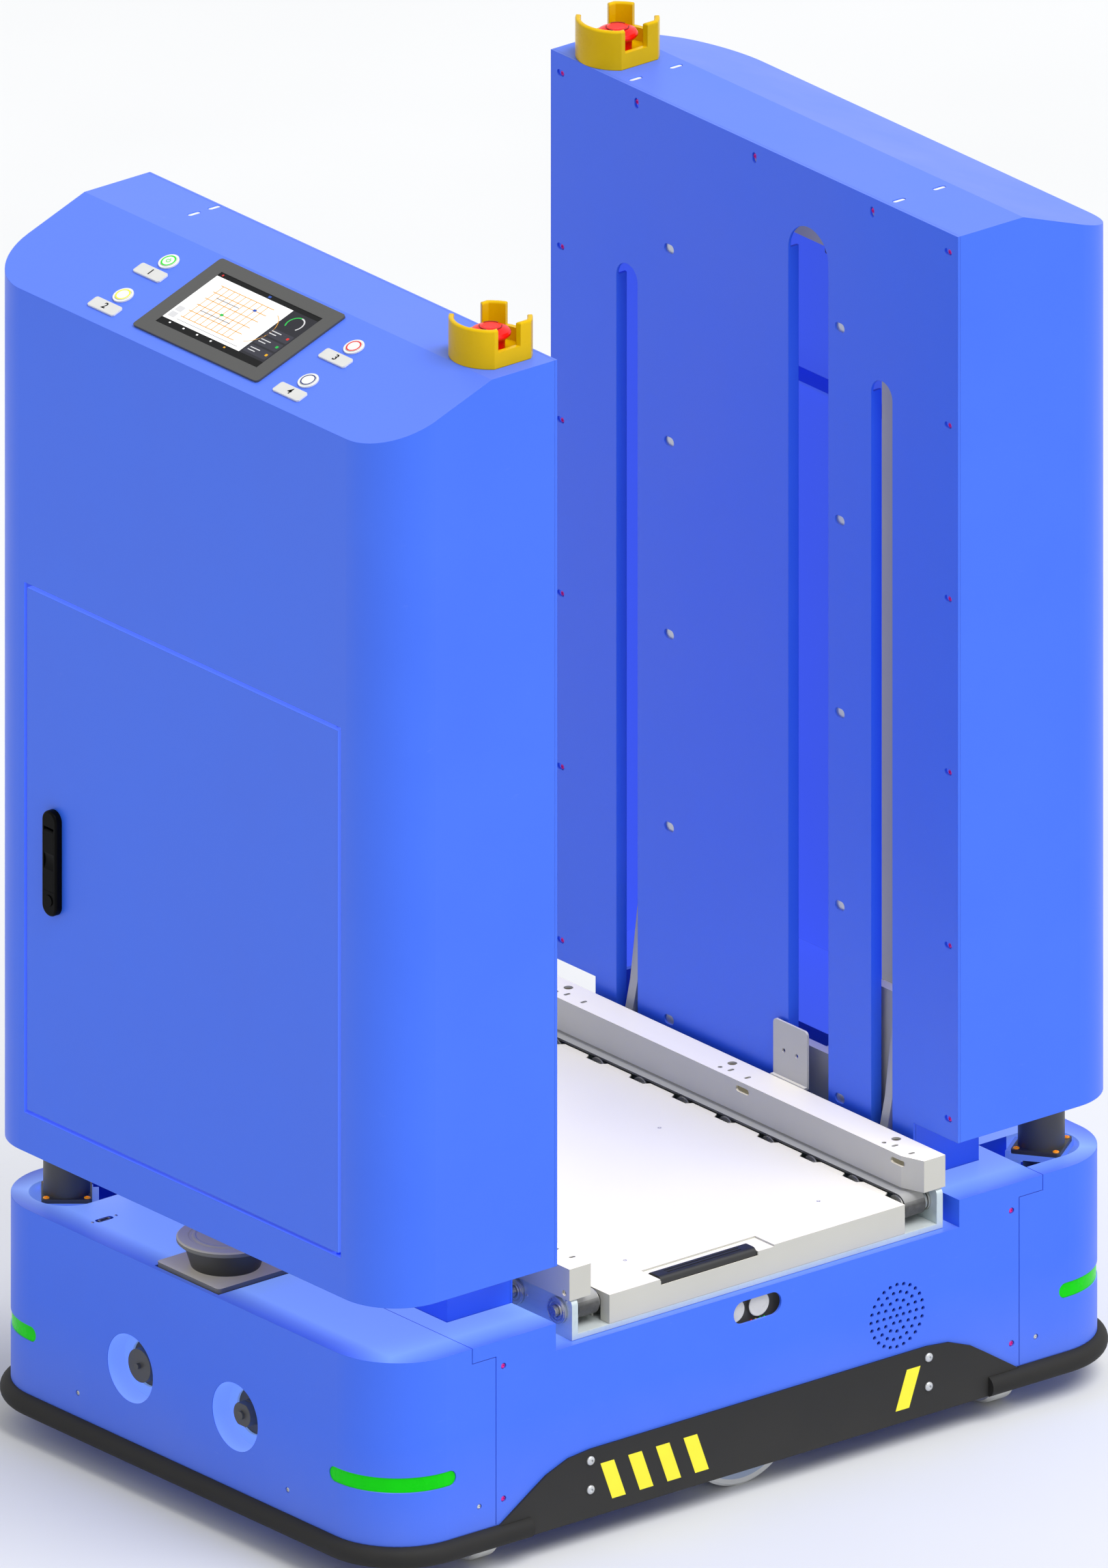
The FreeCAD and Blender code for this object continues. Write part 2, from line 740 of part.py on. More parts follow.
def inner_panel():
    # +X tower; the tongue below the tower closes the neck
    panel = fuse([box(tower_in, tower_in + sheet, -base_half_y, base_half_y, tower_bottom, tower_top),
                  box(tower_in, tower_in + sheet, -neck_half_y, neck_half_y, recess_floor + seat,
                      tower_bottom + 1)])
    mid = Vector(tower_in + sheet / 2, 0, 0)
    lips = []
    openings = []
    slots = ((side_slot_y, side_slot_w, side_slot_top), (mid_slot_y, mid_slot_w, mid_slot_top),
             (-side_slot_y, side_slot_w, side_slot_top))
    for y, width, top in slots:
        height = top - slot_bottom
        centre = Vector(mid.x, y, slot_bottom + height / 2)
        openings.append(obround(height + width / 2, width, sheet + 2, centre - axis_z * (width / 4),
                                axis_z, axis_x).common(box(0, 400, -400, 400, slot_bottom, tower_top)))
        for side in (-1, 1):
            edge = y + side * width / 2
            lips.append(box(tower_in + sheet / 2, tower_in + lip, edge, edge + side * sheet,
                            slot_bottom, top - width / 2))
    for side in (-1, 1):
        for i in range(oval_count):
            centre = Vector(mid.x, side * oval_y, oval_z - i * oval_pitch)
            openings.append(obround(oval_size[0], oval_size[1], sheet + 2, centre, axis_y, axis_x))
        for i in range(panel_screw_count):
            centre = Vector(mid.x, side * panel_screw_y, panel_screw_z - i * panel_screw_pitch)
            openings.append(obround(panel_screw_slot[0], panel_screw_slot[1], sheet + 2, centre,
                                    axis_y, axis_x))
    for y in (-panel_top_screw_y, 0, panel_top_screw_y):
        openings.append(obround(panel_screw_slot[0], panel_screw_slot[1], sheet + 2,
                                Vector(mid.x, y, panel_top_screw_z), axis_z, axis_x))
    return fuse([panel] + lips).cut(Part.makeCompound(openings))


# ------------------------------------------------------------------ door and latch
def door():
    x = -base_half_x
    y0, y1 = -door_half_y + door_gap, door_half_y - door_gap
    z0, z1 = door_low + door_gap, door_high - door_gap
    pan = box(x, x + sheet + door_flange, y0, y1, z0, z1)
    pan = pan.cut(box(x + sheet, x + sheet + door_flange + 1, y0 + sheet, y1 - sheet, z0 + sheet, z1 - sheet))
    openings = [rod(door_pivot_r + running, -door_pivot_x, -door_pivot_y, z - sheet - 1, axis_z, 2 * sheet + 2)
                for z in (z0, z1)]
    openings.append(rod(latch_button_r - 2, x - 1, latch_y, latch_button_z, axis_x, sheet + 2))
    return cut(pan, openings)


def latch_housing():
    # escutcheon on the door with a well for the lever and a bore for the push button
    x = -base_half_x - seat
    body = obround(latch_h, latch_w, latch_proud, Vector(x - latch_proud / 2, latch_y, latch_z), axis_z, axis_x)
    face = x - latch_proud
    rim = [edge for edge in body.Edges if abs(edge.CenterOfMass.x - face) < 1e-6]
    body = body.makeFillet(2.5, rim)
    half = latch_lever_w / 2 + gap
    well = box(face - 1, face + latch_lever_t + gap, latch_y - half, latch_y + half,
               latch_lever_low - gap, latch_lever_top + gap)
    bore = rod(latch_button_r + running, face - 1, latch_y, latch_button_z, axis_x, latch_proud + 0.5)
    pin = rod(1.5, face + latch_lever_t / 2, latch_y - half - 1, latch_lever_top - 5, axis_y, 2 * half + 2)
    return fuse([cut(body, [well, bore]), pin])


def latch_lever():
    x = -base_half_x - seat - latch_proud
    half = latch_lever_w / 2
    pivot_z = latch_lever_top - 5
    pivot_x = x + latch_lever_t / 2
    plate = box(x, x + latch_lever_t, latch_y - half, latch_y + half, latch_lever_low, pivot_z)
    top = rod(latch_lever_t / 2, pivot_x, latch_y - half, pivot_z, axis_y, latch_lever_w)
    grip = rod(30.0, x - 28.6, latch_y - half - 1, (latch_lever_low + pivot_z) / 2, axis_y, latch_lever_w + 2)
    lever = fuse([plate, top])
    return cut(lever, [grip, rod(1.5 + running, pivot_x, latch_y - half - 1, pivot_z, axis_y,
                                 latch_lever_w + 2)])


def latch_button():
    x = -base_half_x - seat - latch_proud
    return rod(latch_button_r, x - 1.0, latch_y, latch_button_z, axis_x, latch_proud - 2.0)


# ------------------------------------------------------------------ operator panel
def hmi_bezel():
    frame = box(-hmi_w / 2, hmi_w / 2, hmi_down - hmi_h / 2, hmi_down + hmi_h / 2, seat, hmi_t)
    frame = frame.makeFillet(4.0, vertical_edges(frame))
    body = box(-hmi_body[0] / 2, hmi_body[0] / 2, hmi_down - hmi_body[1] / 2, hmi_down + hmi_body[1] / 2,
               -hmi_body[2], seat + 0.5)
    pocket = box(-screen_w / 2 - seat, screen_w / 2 + seat, hmi_down - screen_h / 2 - seat,
                 hmi_down + screen_h / 2 + seat, -3.0, hmi_t + 1)
    return on_slope(cut(fuse([frame, body]), [pocket]))


def hmi_screen():
    return on_slope(box(-screen_w / 2, screen_w / 2, hmi_down - screen_h / 2, hmi_down + screen_h / 2,
                        -3.0 + seat, hmi_t - 0.6))


def button_trim():
    pieces = []
    for y, down in buttons():
        ring = fuse([rod(button_bezel_r, y, down, seat, axis_z, button_bezel_t - seat),
                     rod(button_tube_r, y, down, -button_body, axis_z, button_body + 1)])
        pieces.append(on_slope(ring.cut(rod(button_bore_r, y, down, -button_body - 1, axis_z,
                                            button_body + button_bezel_t + 2))))
        half_w, half_h = label_size[0] / 2, label_size[1] / 2
        centre = down + label_down
        plate = box(y + label_shift - half_w, y + label_shift + half_w, centre - half_h, centre + half_h,
                    seat, label_size[2])
        pieces.append(on_slope(plate.makeChamfer(2.0, vertical_edges(plate))))
    return pieces


def button_cap(y, down):
    return on_slope(rod(button_cap_r, y, down, -button_body + 4, axis_z, button_body - 4 + button_proud))


# ------------------------------------------------------------------ emergency stops
def wedge(a0, a1, r, z0, z1):
    # sector between two angles, in degrees
    steps = 4
    points = [(0, 0, z0)]
    for i in range(steps + 1):
        turn = math.radians(a0 + (a1 - a0) * i / steps)
        points.append((r * math.cos(turn), r * math.sin(turn), z0))
    return prism(points, Vector(0, 0, z1 - z0))


def estop_guard(side):
    outer = rod(guard_r, 0, 0, seat, axis_z, guard_h - seat)
    outer = outer.common(box(-100, 100, -guard_flat, guard_flat, 0, 100))
    inner_flat = guard_flat - guard_wall
    inner = rod(guard_r - guard_wall, 0, 0, guard_floor, axis_z, 100)
    inner = inner.common(box(-100, 100, -inner_flat, inner_flat, 0, 200))
    tools = [inner, rod(estop_stem_r + gap, 0, 0, -1, axis_z, 20)]
    tools += [wedge(a0, a1, guard_r * 2, guard_lip, 100) for a0, a1 in guard_gaps]
    guard = cut(outer, tools)
    rims = [edge for edge in guard.Edges if abs(edge.CenterOfMass.z - guard_h) < 1e-6]
    guard = guard.makeFillet(guard_round, rims)
    guard.Placement = Placement(estop_centre(side), Rotation())
    return guard


def estop_head(side):
    r, z, h = estop_head_r, estop_head_z, estop_head_h
    points = [(0, -estop_tail), (estop_stem_r, -estop_tail), (estop_stem_r, z), (r - 2, z), (r, z + 2.5),
              (r, z + 4.5), (r - 1.5, z + 7), (r - 7, z + h - 1.5), (r - 12, z + h), (0, z + h)]
    head = revolve(points, Vector(0, 0, 0), axis_z)
    head.Placement = Placement(estop_centre(side), Rotation())
    return head


# ------------------------------------------------------------------ lift
def lift_guide():
    # goalpost of two columns, a foot beam and a top beam with the motor bracket, in the +X tower
    foot = recess_floor - sheet
    x0, x1 = column_x
    y0, y1 = column_y
    pieces = [box(x0, x1, -y1, y1, beam_z[0], beam_z[1]), box(x0, x1, -y1, y1, foot, foot + foot_t)]
    for side in (-1, 1):
        pieces.append(box(x0, x1, side * y0, side * y1, foot, beam_z[1]))
    pieces.append(box(x1 - 1, lift_motor_x + lift_motor_r + 5, -lift_motor_r - 5, lift_motor_r + 5,
                      beam_z[0], beam_z[0] + plate_t))
    whole = fuse(pieces)
    hole = rod(screw_r + running, screw_x, screw_y, foot - 1, axis_z, tower_top)
    return cut(whole, [hole])


def lift_motor():
    top = beam_z[0] - seat
    can = rod(lift_motor_r, lift_motor_x, 0, top - lift_motor_h, axis_z, lift_motor_h - 20)
    head = box(lift_motor_x - lift_motor_r, lift_motor_x + lift_motor_r, -lift_motor_r, lift_motor_r,
               top - 20, top)
    return fuse([can, head])


def lead_screw():
    low = recess_floor - sheet + 1
    screw = rod(screw_r, screw_x, screw_y, low, axis_z, beam_z[1] + pulley_h - low)
    collars = [rod(screw_collar_r, screw_x, screw_y, recess_floor - sheet + foot_t + gap, axis_z, screw_collar_h),
               rod(screw_collar_r, screw_x, screw_y, beam_z[0] - gap - screw_collar_h, axis_z, screw_collar_h),
               rod(pulley_r, screw_x, screw_y, beam_z[1] + gap, axis_z, pulley_h)]
    return fuse([screw] + collars)


def arm(side_x, side_y):
    # flat bracket through the slot, deep at the carriage and shallow at the conveyor
    near = abs(frame_right if side_x > 0 else frame_left) + seat
    x0, x1 = carriage_x
    y = side_y * side_slot_y
    low = carriage_low
    points = [(near, low), (x0 + 1, low), (x0 + 1, carriage_high), (tower_in + 9, low + arm_h + 60),
              (tower_in - 4, low + arm_h), (near, low + arm_h)]
    return prism([(side_x * x, y - arm_t / 2, z) for x, z in points], Vector(0, arm_t, 0))


def carriage(side):
    x0, x1 = carriage_x
    y0, y1 = column_y
    half = carriage_half_y
    pieces = [box(side * x0, side * x1, -half, half, carriage_low, carriage_mid)]
    for s in (-1, 1):
        pieces.append(box(side * x0, side * x1, s * (y0 - 6), s * half, carriage_low, carriage_high))
        for z in (carriage_low + 8, carriage_high - 58):
            pieces.append(box(side * (x1 - 1), side * (column_x[0] - gap), s * (y0 + 5), s * (y1 - 5), z, z + 50))
        pieces.append(arm(side, s))
    pieces.append(box(side * (x1 - 1), side * (column_x[1] - 2), screw_y - nut_half, screw_y + nut_half,
                      nut_z[0], nut_z[1]))
    whole = fuse(pieces)
    return cut(whole, [rod(screw_r + running, side * screw_x, screw_y, carriage_low - 1, axis_z, 300)])


# ------------------------------------------------------------------ conveyor
def roller_places():
    # end rollers, and idlers at even pitch from the -Y end
    idlers = []
    y = -roller_y + roller_pitch
    while y < roller_y - 2 * roller_r - 5:
        idlers.append(y)
        y += roller_pitch
    return idlers


def deck_frame():
    outer = box(frame_left, frame_right, -frame_half_y, frame_half_y, frame_low, frame_wall_top)
    wall_edges = [edge for edge in outer.Edges
                  if abs(edge.CenterOfMass.z - frame_wall_top) < 1e-6
                  and abs(abs(edge.CenterOfMass.y) - frame_half_y) < 1e-6]
    outer = outer.makeFillet(frame_wall_round, wall_edges)
    inner = box(frame_left + frame_wall, frame_right - frame_wall, -frame_half_y - 1, frame_half_y + 1,
                frame_low + frame_floor_t, frame_wall_top + 1)
    holes = []
    for y in [-roller_y, roller_y] + roller_places():
        holes.append(rod(bearing_barrel_r + seat, frame_left - 1, y, roller_z, axis_x, frame_wall + 2))
        holes.append(rod(bearing_barrel_r + seat, frame_right - frame_wall - 1, y, roller_z, axis_x,
                         frame_wall + 2))
    body = outer.cut(inner).cut(Part.makeCompound(holes))
    floor = frame_low + frame_floor_t - 1
    pins = [rod(pin_r, x, stopper_pin_y(), floor, axis_z, stopper_top - 4 - floor)
            for x in stopper_pins()]
    return fuse([body] + pins)


def stopper_pins():
    return (stopper_x[0] + stopper_pin_in, stopper_x[1] - stopper_pin_in)


def stopper_back():
    # the lower part of the stopper ends short of the drive roller's shaft
    return -roller_y - shaft_r - 1


def stopper_pin_y():
    return (stopper_y[0] + stopper_back()) / 2


def shaft_bearings():
    pieces = []
    for y in [-roller_y, roller_y] + roller_places():
        for face, way in ((frame_left, -1), (frame_right, 1)):
            inward = -frame_wall - bearing_inward
            barrel = [(shaft_r + running, inward), (bearing_barrel_r, inward), (bearing_barrel_r, seat),
                      (bearing_r, seat), (bearing_r, bearing_flange_t), (shaft_r + running, bearing_flange_t)]
            pieces.append(revolve(barrel, Vector(face, y, roller_z), Vector(way, 0, 0)))
    return pieces


def roller(y, fit):
    # shaft, and a flanged belt pulley pressed on near each end
    left, right = frame_left - shaft_out, frame_right + shaft_out
    pieces = [rod(shaft_r, left, y, roller_z, axis_x, right - left)]
    bore = shaft_r + fit
    for (outer, inner), way in ((belt_left, 1), (belt_right[::-1], -1)):
        hub, lip = outer - way * roller_hub, inner + way * seat
        points = [(bore, hub), (roller_r, hub), (roller_r, lip), (flange_r, lip), (flange_r, lip + way * flange_t),
                  (bore, lip + way * flange_t)]
        pieces.append(revolve(points[::way], Vector(0, y, roller_z), axis_x))
    return pieces


def belt(span):
    # loop round the end rollers
    inner = roller_r + gap
    outer = inner + belt_t
    width = span[1] - span[0]
    centre = Vector((span[0] + span[1]) / 2, 0, roller_z)
    loop = obround(2 * (roller_y + outer), 2 * outer, width, centre, axis_y, axis_x)
    return loop.cut(obround(2 * (roller_y + inner), 2 * inner, width + 2, centre, axis_y, axis_x))


def deck_cover():
    # tray with a shallow pocket round the stopper
    low = frame_low + frame_floor_t + seat
    tray = box(deck_left, deck_right, -frame_half_y, frame_half_y, low, deck_top)
    tray = tray.cut(box(deck_left + deck_sheet, deck_right - deck_sheet, -frame_half_y + deck_sheet,
                        frame_half_y - deck_sheet, low - 1, deck_top - deck_sheet))
    x0, x1 = pocket_x
    floor = deck_top - deck_sheet
    plate = box(x0 - 1, x1 + 1, -frame_half_y, pocket_y + 1, floor - pocket_floor_t, floor)
    tray = fuse([tray, plate])
    tools = []
    for y in [-roller_y, roller_y] + roller_places():
        tools.append(box(deck_left - 1, deck_right + 1, y - shaft_r - 1, y + shaft_r + 1, low - 1, roller_z))
        tools.append(rod(shaft_r + 1, deck_left - 1, y, roller_z, axis_x, deck_right - deck_left + 2))
    s0, s1 = stopper_x[0] - pocket_clear, stopper_x[1] + pocket_clear
    tools.append(box(x0, x1, -frame_half_y - 1, pocket_y, floor, deck_top + 1))
    tools.append(box(s0, s1, -frame_half_y - 1, stopper_y[1] + pocket_clear, low - 1, deck_top))
    tray = cut(tray, tools)
    # a low front lip stays under the stopper
    front = box(s0 - 1, s1 + 1, -frame_half_y, -frame_half_y + lip_t, low, stopper_low + lip_h)
    return fuse([tray, front])


def stopper():
    x0, x1 = stopper_x
    y0, y1 = stopper_y
    bar = box(x0, x1, y0 + gap, y1, stopper_low, stopper_top)
    long_edges = [edge for edge in bar.Edges
                  if abs(edge.CenterOfMass.z - stopper_top) < 1e-6 and edge.Length > 50]
    bar = bar.makeFillet(stopper_round, long_edges)
    wide, deep = stopper_groove
    grooves = [box(x0 + stopper_groove_end, x1 - stopper_groove_end, y0 + y, y0 + y + wide, stopper_top - deep,
                   stopper_top + 1) for y in stopper_groove_y]
    bores = [rod(pin_r + running, x, stopper_pin_y(), stopper_low - 1, axis_z,
                 stopper_top - 3 - stopper_low + 1) for x in stopper_pins()]
    step = box(x0 - 1, x1 + 1, stopper_back(), y1 + 1, stopper_low - 1, roller_z + shaft_r + 1)
    return cut(bar, grooves + bores + [step])


def rail(side):
    # guide rail on the +X (side 1) or -X (side -1) wall, drawn for +X about the conveyor's middle
    middle = (frame_left + frame_right) / 2
    outer_x = frame_right - middle + rail_inset
    inner_x = outer_x - rail_w
    half = frame_half_y

    def outline(wall, z0, z1):
        x0, x1, end = inner_x + wall, outer_x - wall, half - wall
        points = [(x0, -end + rail_flare, z0), (x0 + rail_flare_x, -end, z0), (x1, -end, z0), (x1, end, z0),
                  (x0 + rail_flare_x, end, z0), (x0, end - rail_flare, z0)]
        return prism(points, Vector(0, 0, z1 - z0))

    tube = outline(0, rail_low, rail_top).cut(outline(rail_wall, rail_low + rail_wall, rail_top - rail_wall))
    tools = []
    for y in rail_group_y:
        top = rail_top - rail_wall - 1
        tools.append(rod(rail_bolt_r, outer_x - rail_bolt_in, y, top, axis_z, rail_wall + 2))
        tools.append(rod(rail_pin_r, inner_x + rail_pin_in, y, top, axis_z, rail_wall + 2))
        for back in rail_slot_back:
            centre = Vector(inner_x + rail_slot_in, y - back, rail_top - rail_wall / 2)
            tools.append(obround(*rail_slot, rail_wall + 2, centre, axis_x, axis_z))
    for y in rail_side_slot_y:
        centre = Vector(inner_x + rail_wall / 2, y, rail_top - rail_side_slot_down)
        tools.append(obround(*rail_side_slot, rail_wall + 2, centre, axis_y, axis_x))
    for side_y in (-1, 1):
        tools.append(rod(rail_end_hole_r, outer_x - rail_wall - 1, side_y * rail_end_hole[0], rail_end_hole[1],
                         axis_x, rail_wall + 2))
    tube = cut(tube, tools)
    if side < 0:
        tube = mirror_x(tube)
    tube.translate(Vector(middle, 0, 0))
    return tube


def sensor_bracket():
    # Z shaped plate on the outer face of the right rail
    y0, y1 = bracket_y
    z0, z1 = bracket_z
    x = frame_right + rail_inset + seat
    plate = box(bracket_x - bracket_t, bracket_x, y0, y1, z0, z1)
    corners = [edge for edge in plate.Edges
               if edge.Length < bracket_t + 0.1 and edge.CenterOfMass.z > z1 - 1]
    plate = plate.makeFillet(bracket_round, corners)
    holes = [rod(bracket_hole_r, bracket_x - bracket_t - 1, (y0 + y1) / 2 + s * bracket_hole_pitch / 2,
                 (z0 + z1) / 2, axis_x, bracket_t + 2) for s in (-1, 1)]
    plate = cut(plate, holes)
    shelf = box(x, bracket_x, y0, y1, z0, z0 + bracket_t)
    down = box(x, x + bracket_t, y0, y1, rail_low + 3, z0 + bracket_t)
    return fuse([plate, shelf, down])


# ------------------------------------------------------------------ wheels
def drive_wheel(side):
    # disc wheel with a tyre; profile as (radius, distance from the outer face)
    bore = wheel_shaft_r + running
    points = [(bore, 0), (22, 0), (24, 6), (56, 8), (62, 2), (wheel_r - 3, 0), (wheel_r, 3),
              (wheel_r, wheel_w - 3), (wheel_r - 3, wheel_w), (62, wheel_w - 2), (56, 26), (24, 26),
              (22, wheel_w), (bore, wheel_w)]
    return revolve(points, Vector(0, side * wheel_y, wheel_r), Vector(0, -side, 0))


def drive_motor(side):
    y0 = wheel_y - wheel_w - 7.5 - seat
    way = Vector(0, -side, 0)
    pieces = [rod(motor_r, 0, side * y0, wheel_r, way, motor_len),
              rod(wheel_shaft_r, 0, side * (wheel_y - 2), wheel_r, way, wheel_y - 2 - y0 + 5),
              box(-motor_r, motor_r, side * y0, side * (y0 - 50), wheel_r - motor_r, wheel_r + motor_r - seat)]
    return fuse(pieces)


def caster_axle(sx, sy):
    return Vector(sx * caster_x, sy * (caster_y + caster_trail), caster_r)


def caster_fork(sx, sy):
    x, y = sx * caster_x, sy * caster_y
    top = plate_z - 7 - 0.5
    axle = caster_axle(sx, sy)
    half = caster_w / 2 + 0.8
    pieces = [rod(fork_disc_r, x, y, top - 8, axis_z, 8), rod(king_pin_r, x, y, top - 1, axis_z, 14.5)]
    for s in (-1, 1):
        x0 = x + s * half
        leg = prism([(x0, y - sy * 16, top - 4), (x0, y + sy * 24, top - 4), (x0, axle.y + sy * 9, caster_r),
                     (x0, axle.y - sy * 9, caster_r)], Vector(s * fork_t, 0, 0))
        start = x0 if s > 0 else x0 - fork_t
        pieces += [leg, rod(9.0, start, axle.y, caster_r, axis_x, fork_t)]
    pieces.append(rod(caster_axle_r, x - half - 1, axle.y, caster_r, axis_x, 2 * half + 2))
    return fuse(pieces)


def caster_wheel(sx, sy):
    bore = caster_axle_r + running
    w, r = caster_w, caster_r
    points = [(bore, 0), (11, 0), (12, 2), (r - 9, 3), (r - 6, 1), (r - 3.5, 0), (r, 6), (r, w - 6),
              (r - 3.5, w), (r - 6, w - 1), (r - 9, w - 3), (12, w - 2), (11, w), (bore, w)]
    axle = caster_axle(sx, sy)
    return revolve(points, Vector(axle.x - w / 2, axle.y, axle.z), axis_x)


# ------------------------------------------------------------------ scanners, ports and inner units
def corner_lidar(side):
    x, y = side * lidar_x, -side * lidar_y
    yaw = lidar_yaw[0] if side < 0 else lidar_yaw[1]
    low = lidar_flange_top - lidar_flange_t
    half = lidar_flange / 2
    flange = box(-half, half, -half, half, low, lidar_flange_top)
    flange = flange.makeFillet(3.0, vertical_edges(flange))
    flange.Placement = Placement(Vector(x, y, 0), Rotation(axis_z, yaw))
    head = revolve([(0, lidar_flange_top - 1), (lidar_r, lidar_flange_top - 1), (lidar_r, lidar_top - 2),
                    (lidar_r - 2, lidar_top), (0, lidar_top)], Vector(x, y, 0), axis_z)
    neck_part = rod(lidar_neck_r, x, y, low - 22, axis_z, 23)
    return fuse([flange, head, neck_part])


def end_scanner():
    x = -scanner_x
    half = scanner_plate / 2
    top = scanner_plate_top
    low = top - scanner_plate_t
    plate = box(x - half, x + half, -half, half, low, top)
    plate = plate.makeFillet(5.0, vertical_edges(plate))
    body = box(x - half + 4, x + half - 4, -half + 4, half - 4, low - scanner_body_h, low + 1)
    body = body.makeFillet(8.0, vertical_edges(body))
    z, t, r = scanner_disc_z, scanner_disc_t, scanner_disc_r
    head = revolve([(0, top - 1), (scanner_neck_r, top - 1), (scanner_cone_r, z), (r - 1.5, z), (r, z + 1.5),
                    (r, z + t - 1.5), (r - 1.5, z + t), (r - 12, z + t), (r - 13, z + t - 1), (r - 16, z + t - 1),
                    (r - 17, z + t), (0, z + t)], Vector(x, 0, 0), axis_z)
    return fuse([plate, body, head])


def port_connectors():
    # charging connector, data connector and the service socket in the base top
    back = -base_half_x + port_depth + sheet + seat
    charge = fuse([rod(18.0, back - 14, port_y, port_z, axis_x, 30), rod(30.0, back, port_y, port_z, axis_x, port_flange_t),
                   rod(3.0, back - 18, port_y, port_z, axis_x, 6)])
    knob = Part.makeCylinder(13.5, 18, Vector(back - 17, -port_y, port_z), axis_x)
    knob = fuse([knob, rod(16.5, back - 3, -port_y, port_z, axis_x, 20),
                 rod(30.0, back, -port_y, port_z, axis_x, port_flange_t), rod(4.5, back - 20, -port_y, port_z, axis_x, 5)])
    flats = [box(back - 17, back - 8, -port_y - 20, -port_y + 20, port_z + 12, port_z + 20),
             box(back - 17, back - 8, -port_y - 20, -port_y + 20, port_z - 20, port_z - 12)]
    socket_top = base_top - sheet - seat
    usb = box(-usb_x - 17, -usb_x + 17, usb_y - 7, usb_y + 7, socket_top - 14, socket_top)
    mouth = box(-usb_x - 7, -usb_x + 7, usb_y - 2.5, usb_y + 2.5, socket_top - 1, socket_top + sheet - 0.5)
    hollow = box(-usb_x - 6.3, -usb_x + 6.3, usb_y - 1.8, usb_y + 1.8, socket_top - 9, socket_top + sheet)
    return [charge, cut(knob, flats), cut(fuse([usb, mouth]), [hollow])]


def speaker():
    y = -base_half_y + sheet + seat
    return revolve([(0, 6), (20, 6), (speaker_r - 6, 1.5), (speaker_r - 6, 0), (speaker_r, 0), (speaker_r, 4),
                    (24, 16), (24, 24), (0, 24)], Vector(speaker_x, y, speaker_z), axis_y)


def optical_link():
    y = -base_half_y + sheet + seat
    body = box(-48, 48, y + 8, y + 30, window_z - 20, window_z + 15)
    tabs = [box(s * 48, s * 58, y, y + 30, window_z - 12, window_z + 12) for s in (-1, 1)]
    lenses = [rod(13.3, x, y + 5, window_z + 1, axis_y, 5) for x in (7.5, -25.0)]
    return fuse([body] + tabs + lenses)


def battery_pack():
    z = plate_z + plate_t + seat
    pack = box(-inner_x - battery[0], -inner_x, -battery[1] / 2, battery[1] / 2, z, z + battery[2])
    pack = pack.makeFillet(6.0, vertical_edges(pack))
    handle = box(-inner_x - battery[0] / 2 - 60, -inner_x - battery[0] / 2 + 60, -8, 8,
                 z + battery[2] - 1, z + battery[2] + 10)
    grip = box(-inner_x - battery[0] / 2 - 50, -inner_x - battery[0] / 2 + 50, -9, 9,
               z + battery[2], z + battery[2] + 6)
    return fuse([pack, handle.cut(grip)])


def control_box():
    z = plate_z + plate_t + seat
    case = box(inner_x, inner_x + control[0], -control[1] / 2, control[1] / 2, z, z + control[2])
    case = case.makeFillet(4.0, vertical_edges(case))
    slots = [box(inner_x + 20, inner_x + control[0] - 20, y, y + 6, z + control[2] - 8, z + control[2] + 1)
             for y in range(-120, 121, 24)]
    return cut(case, slots)


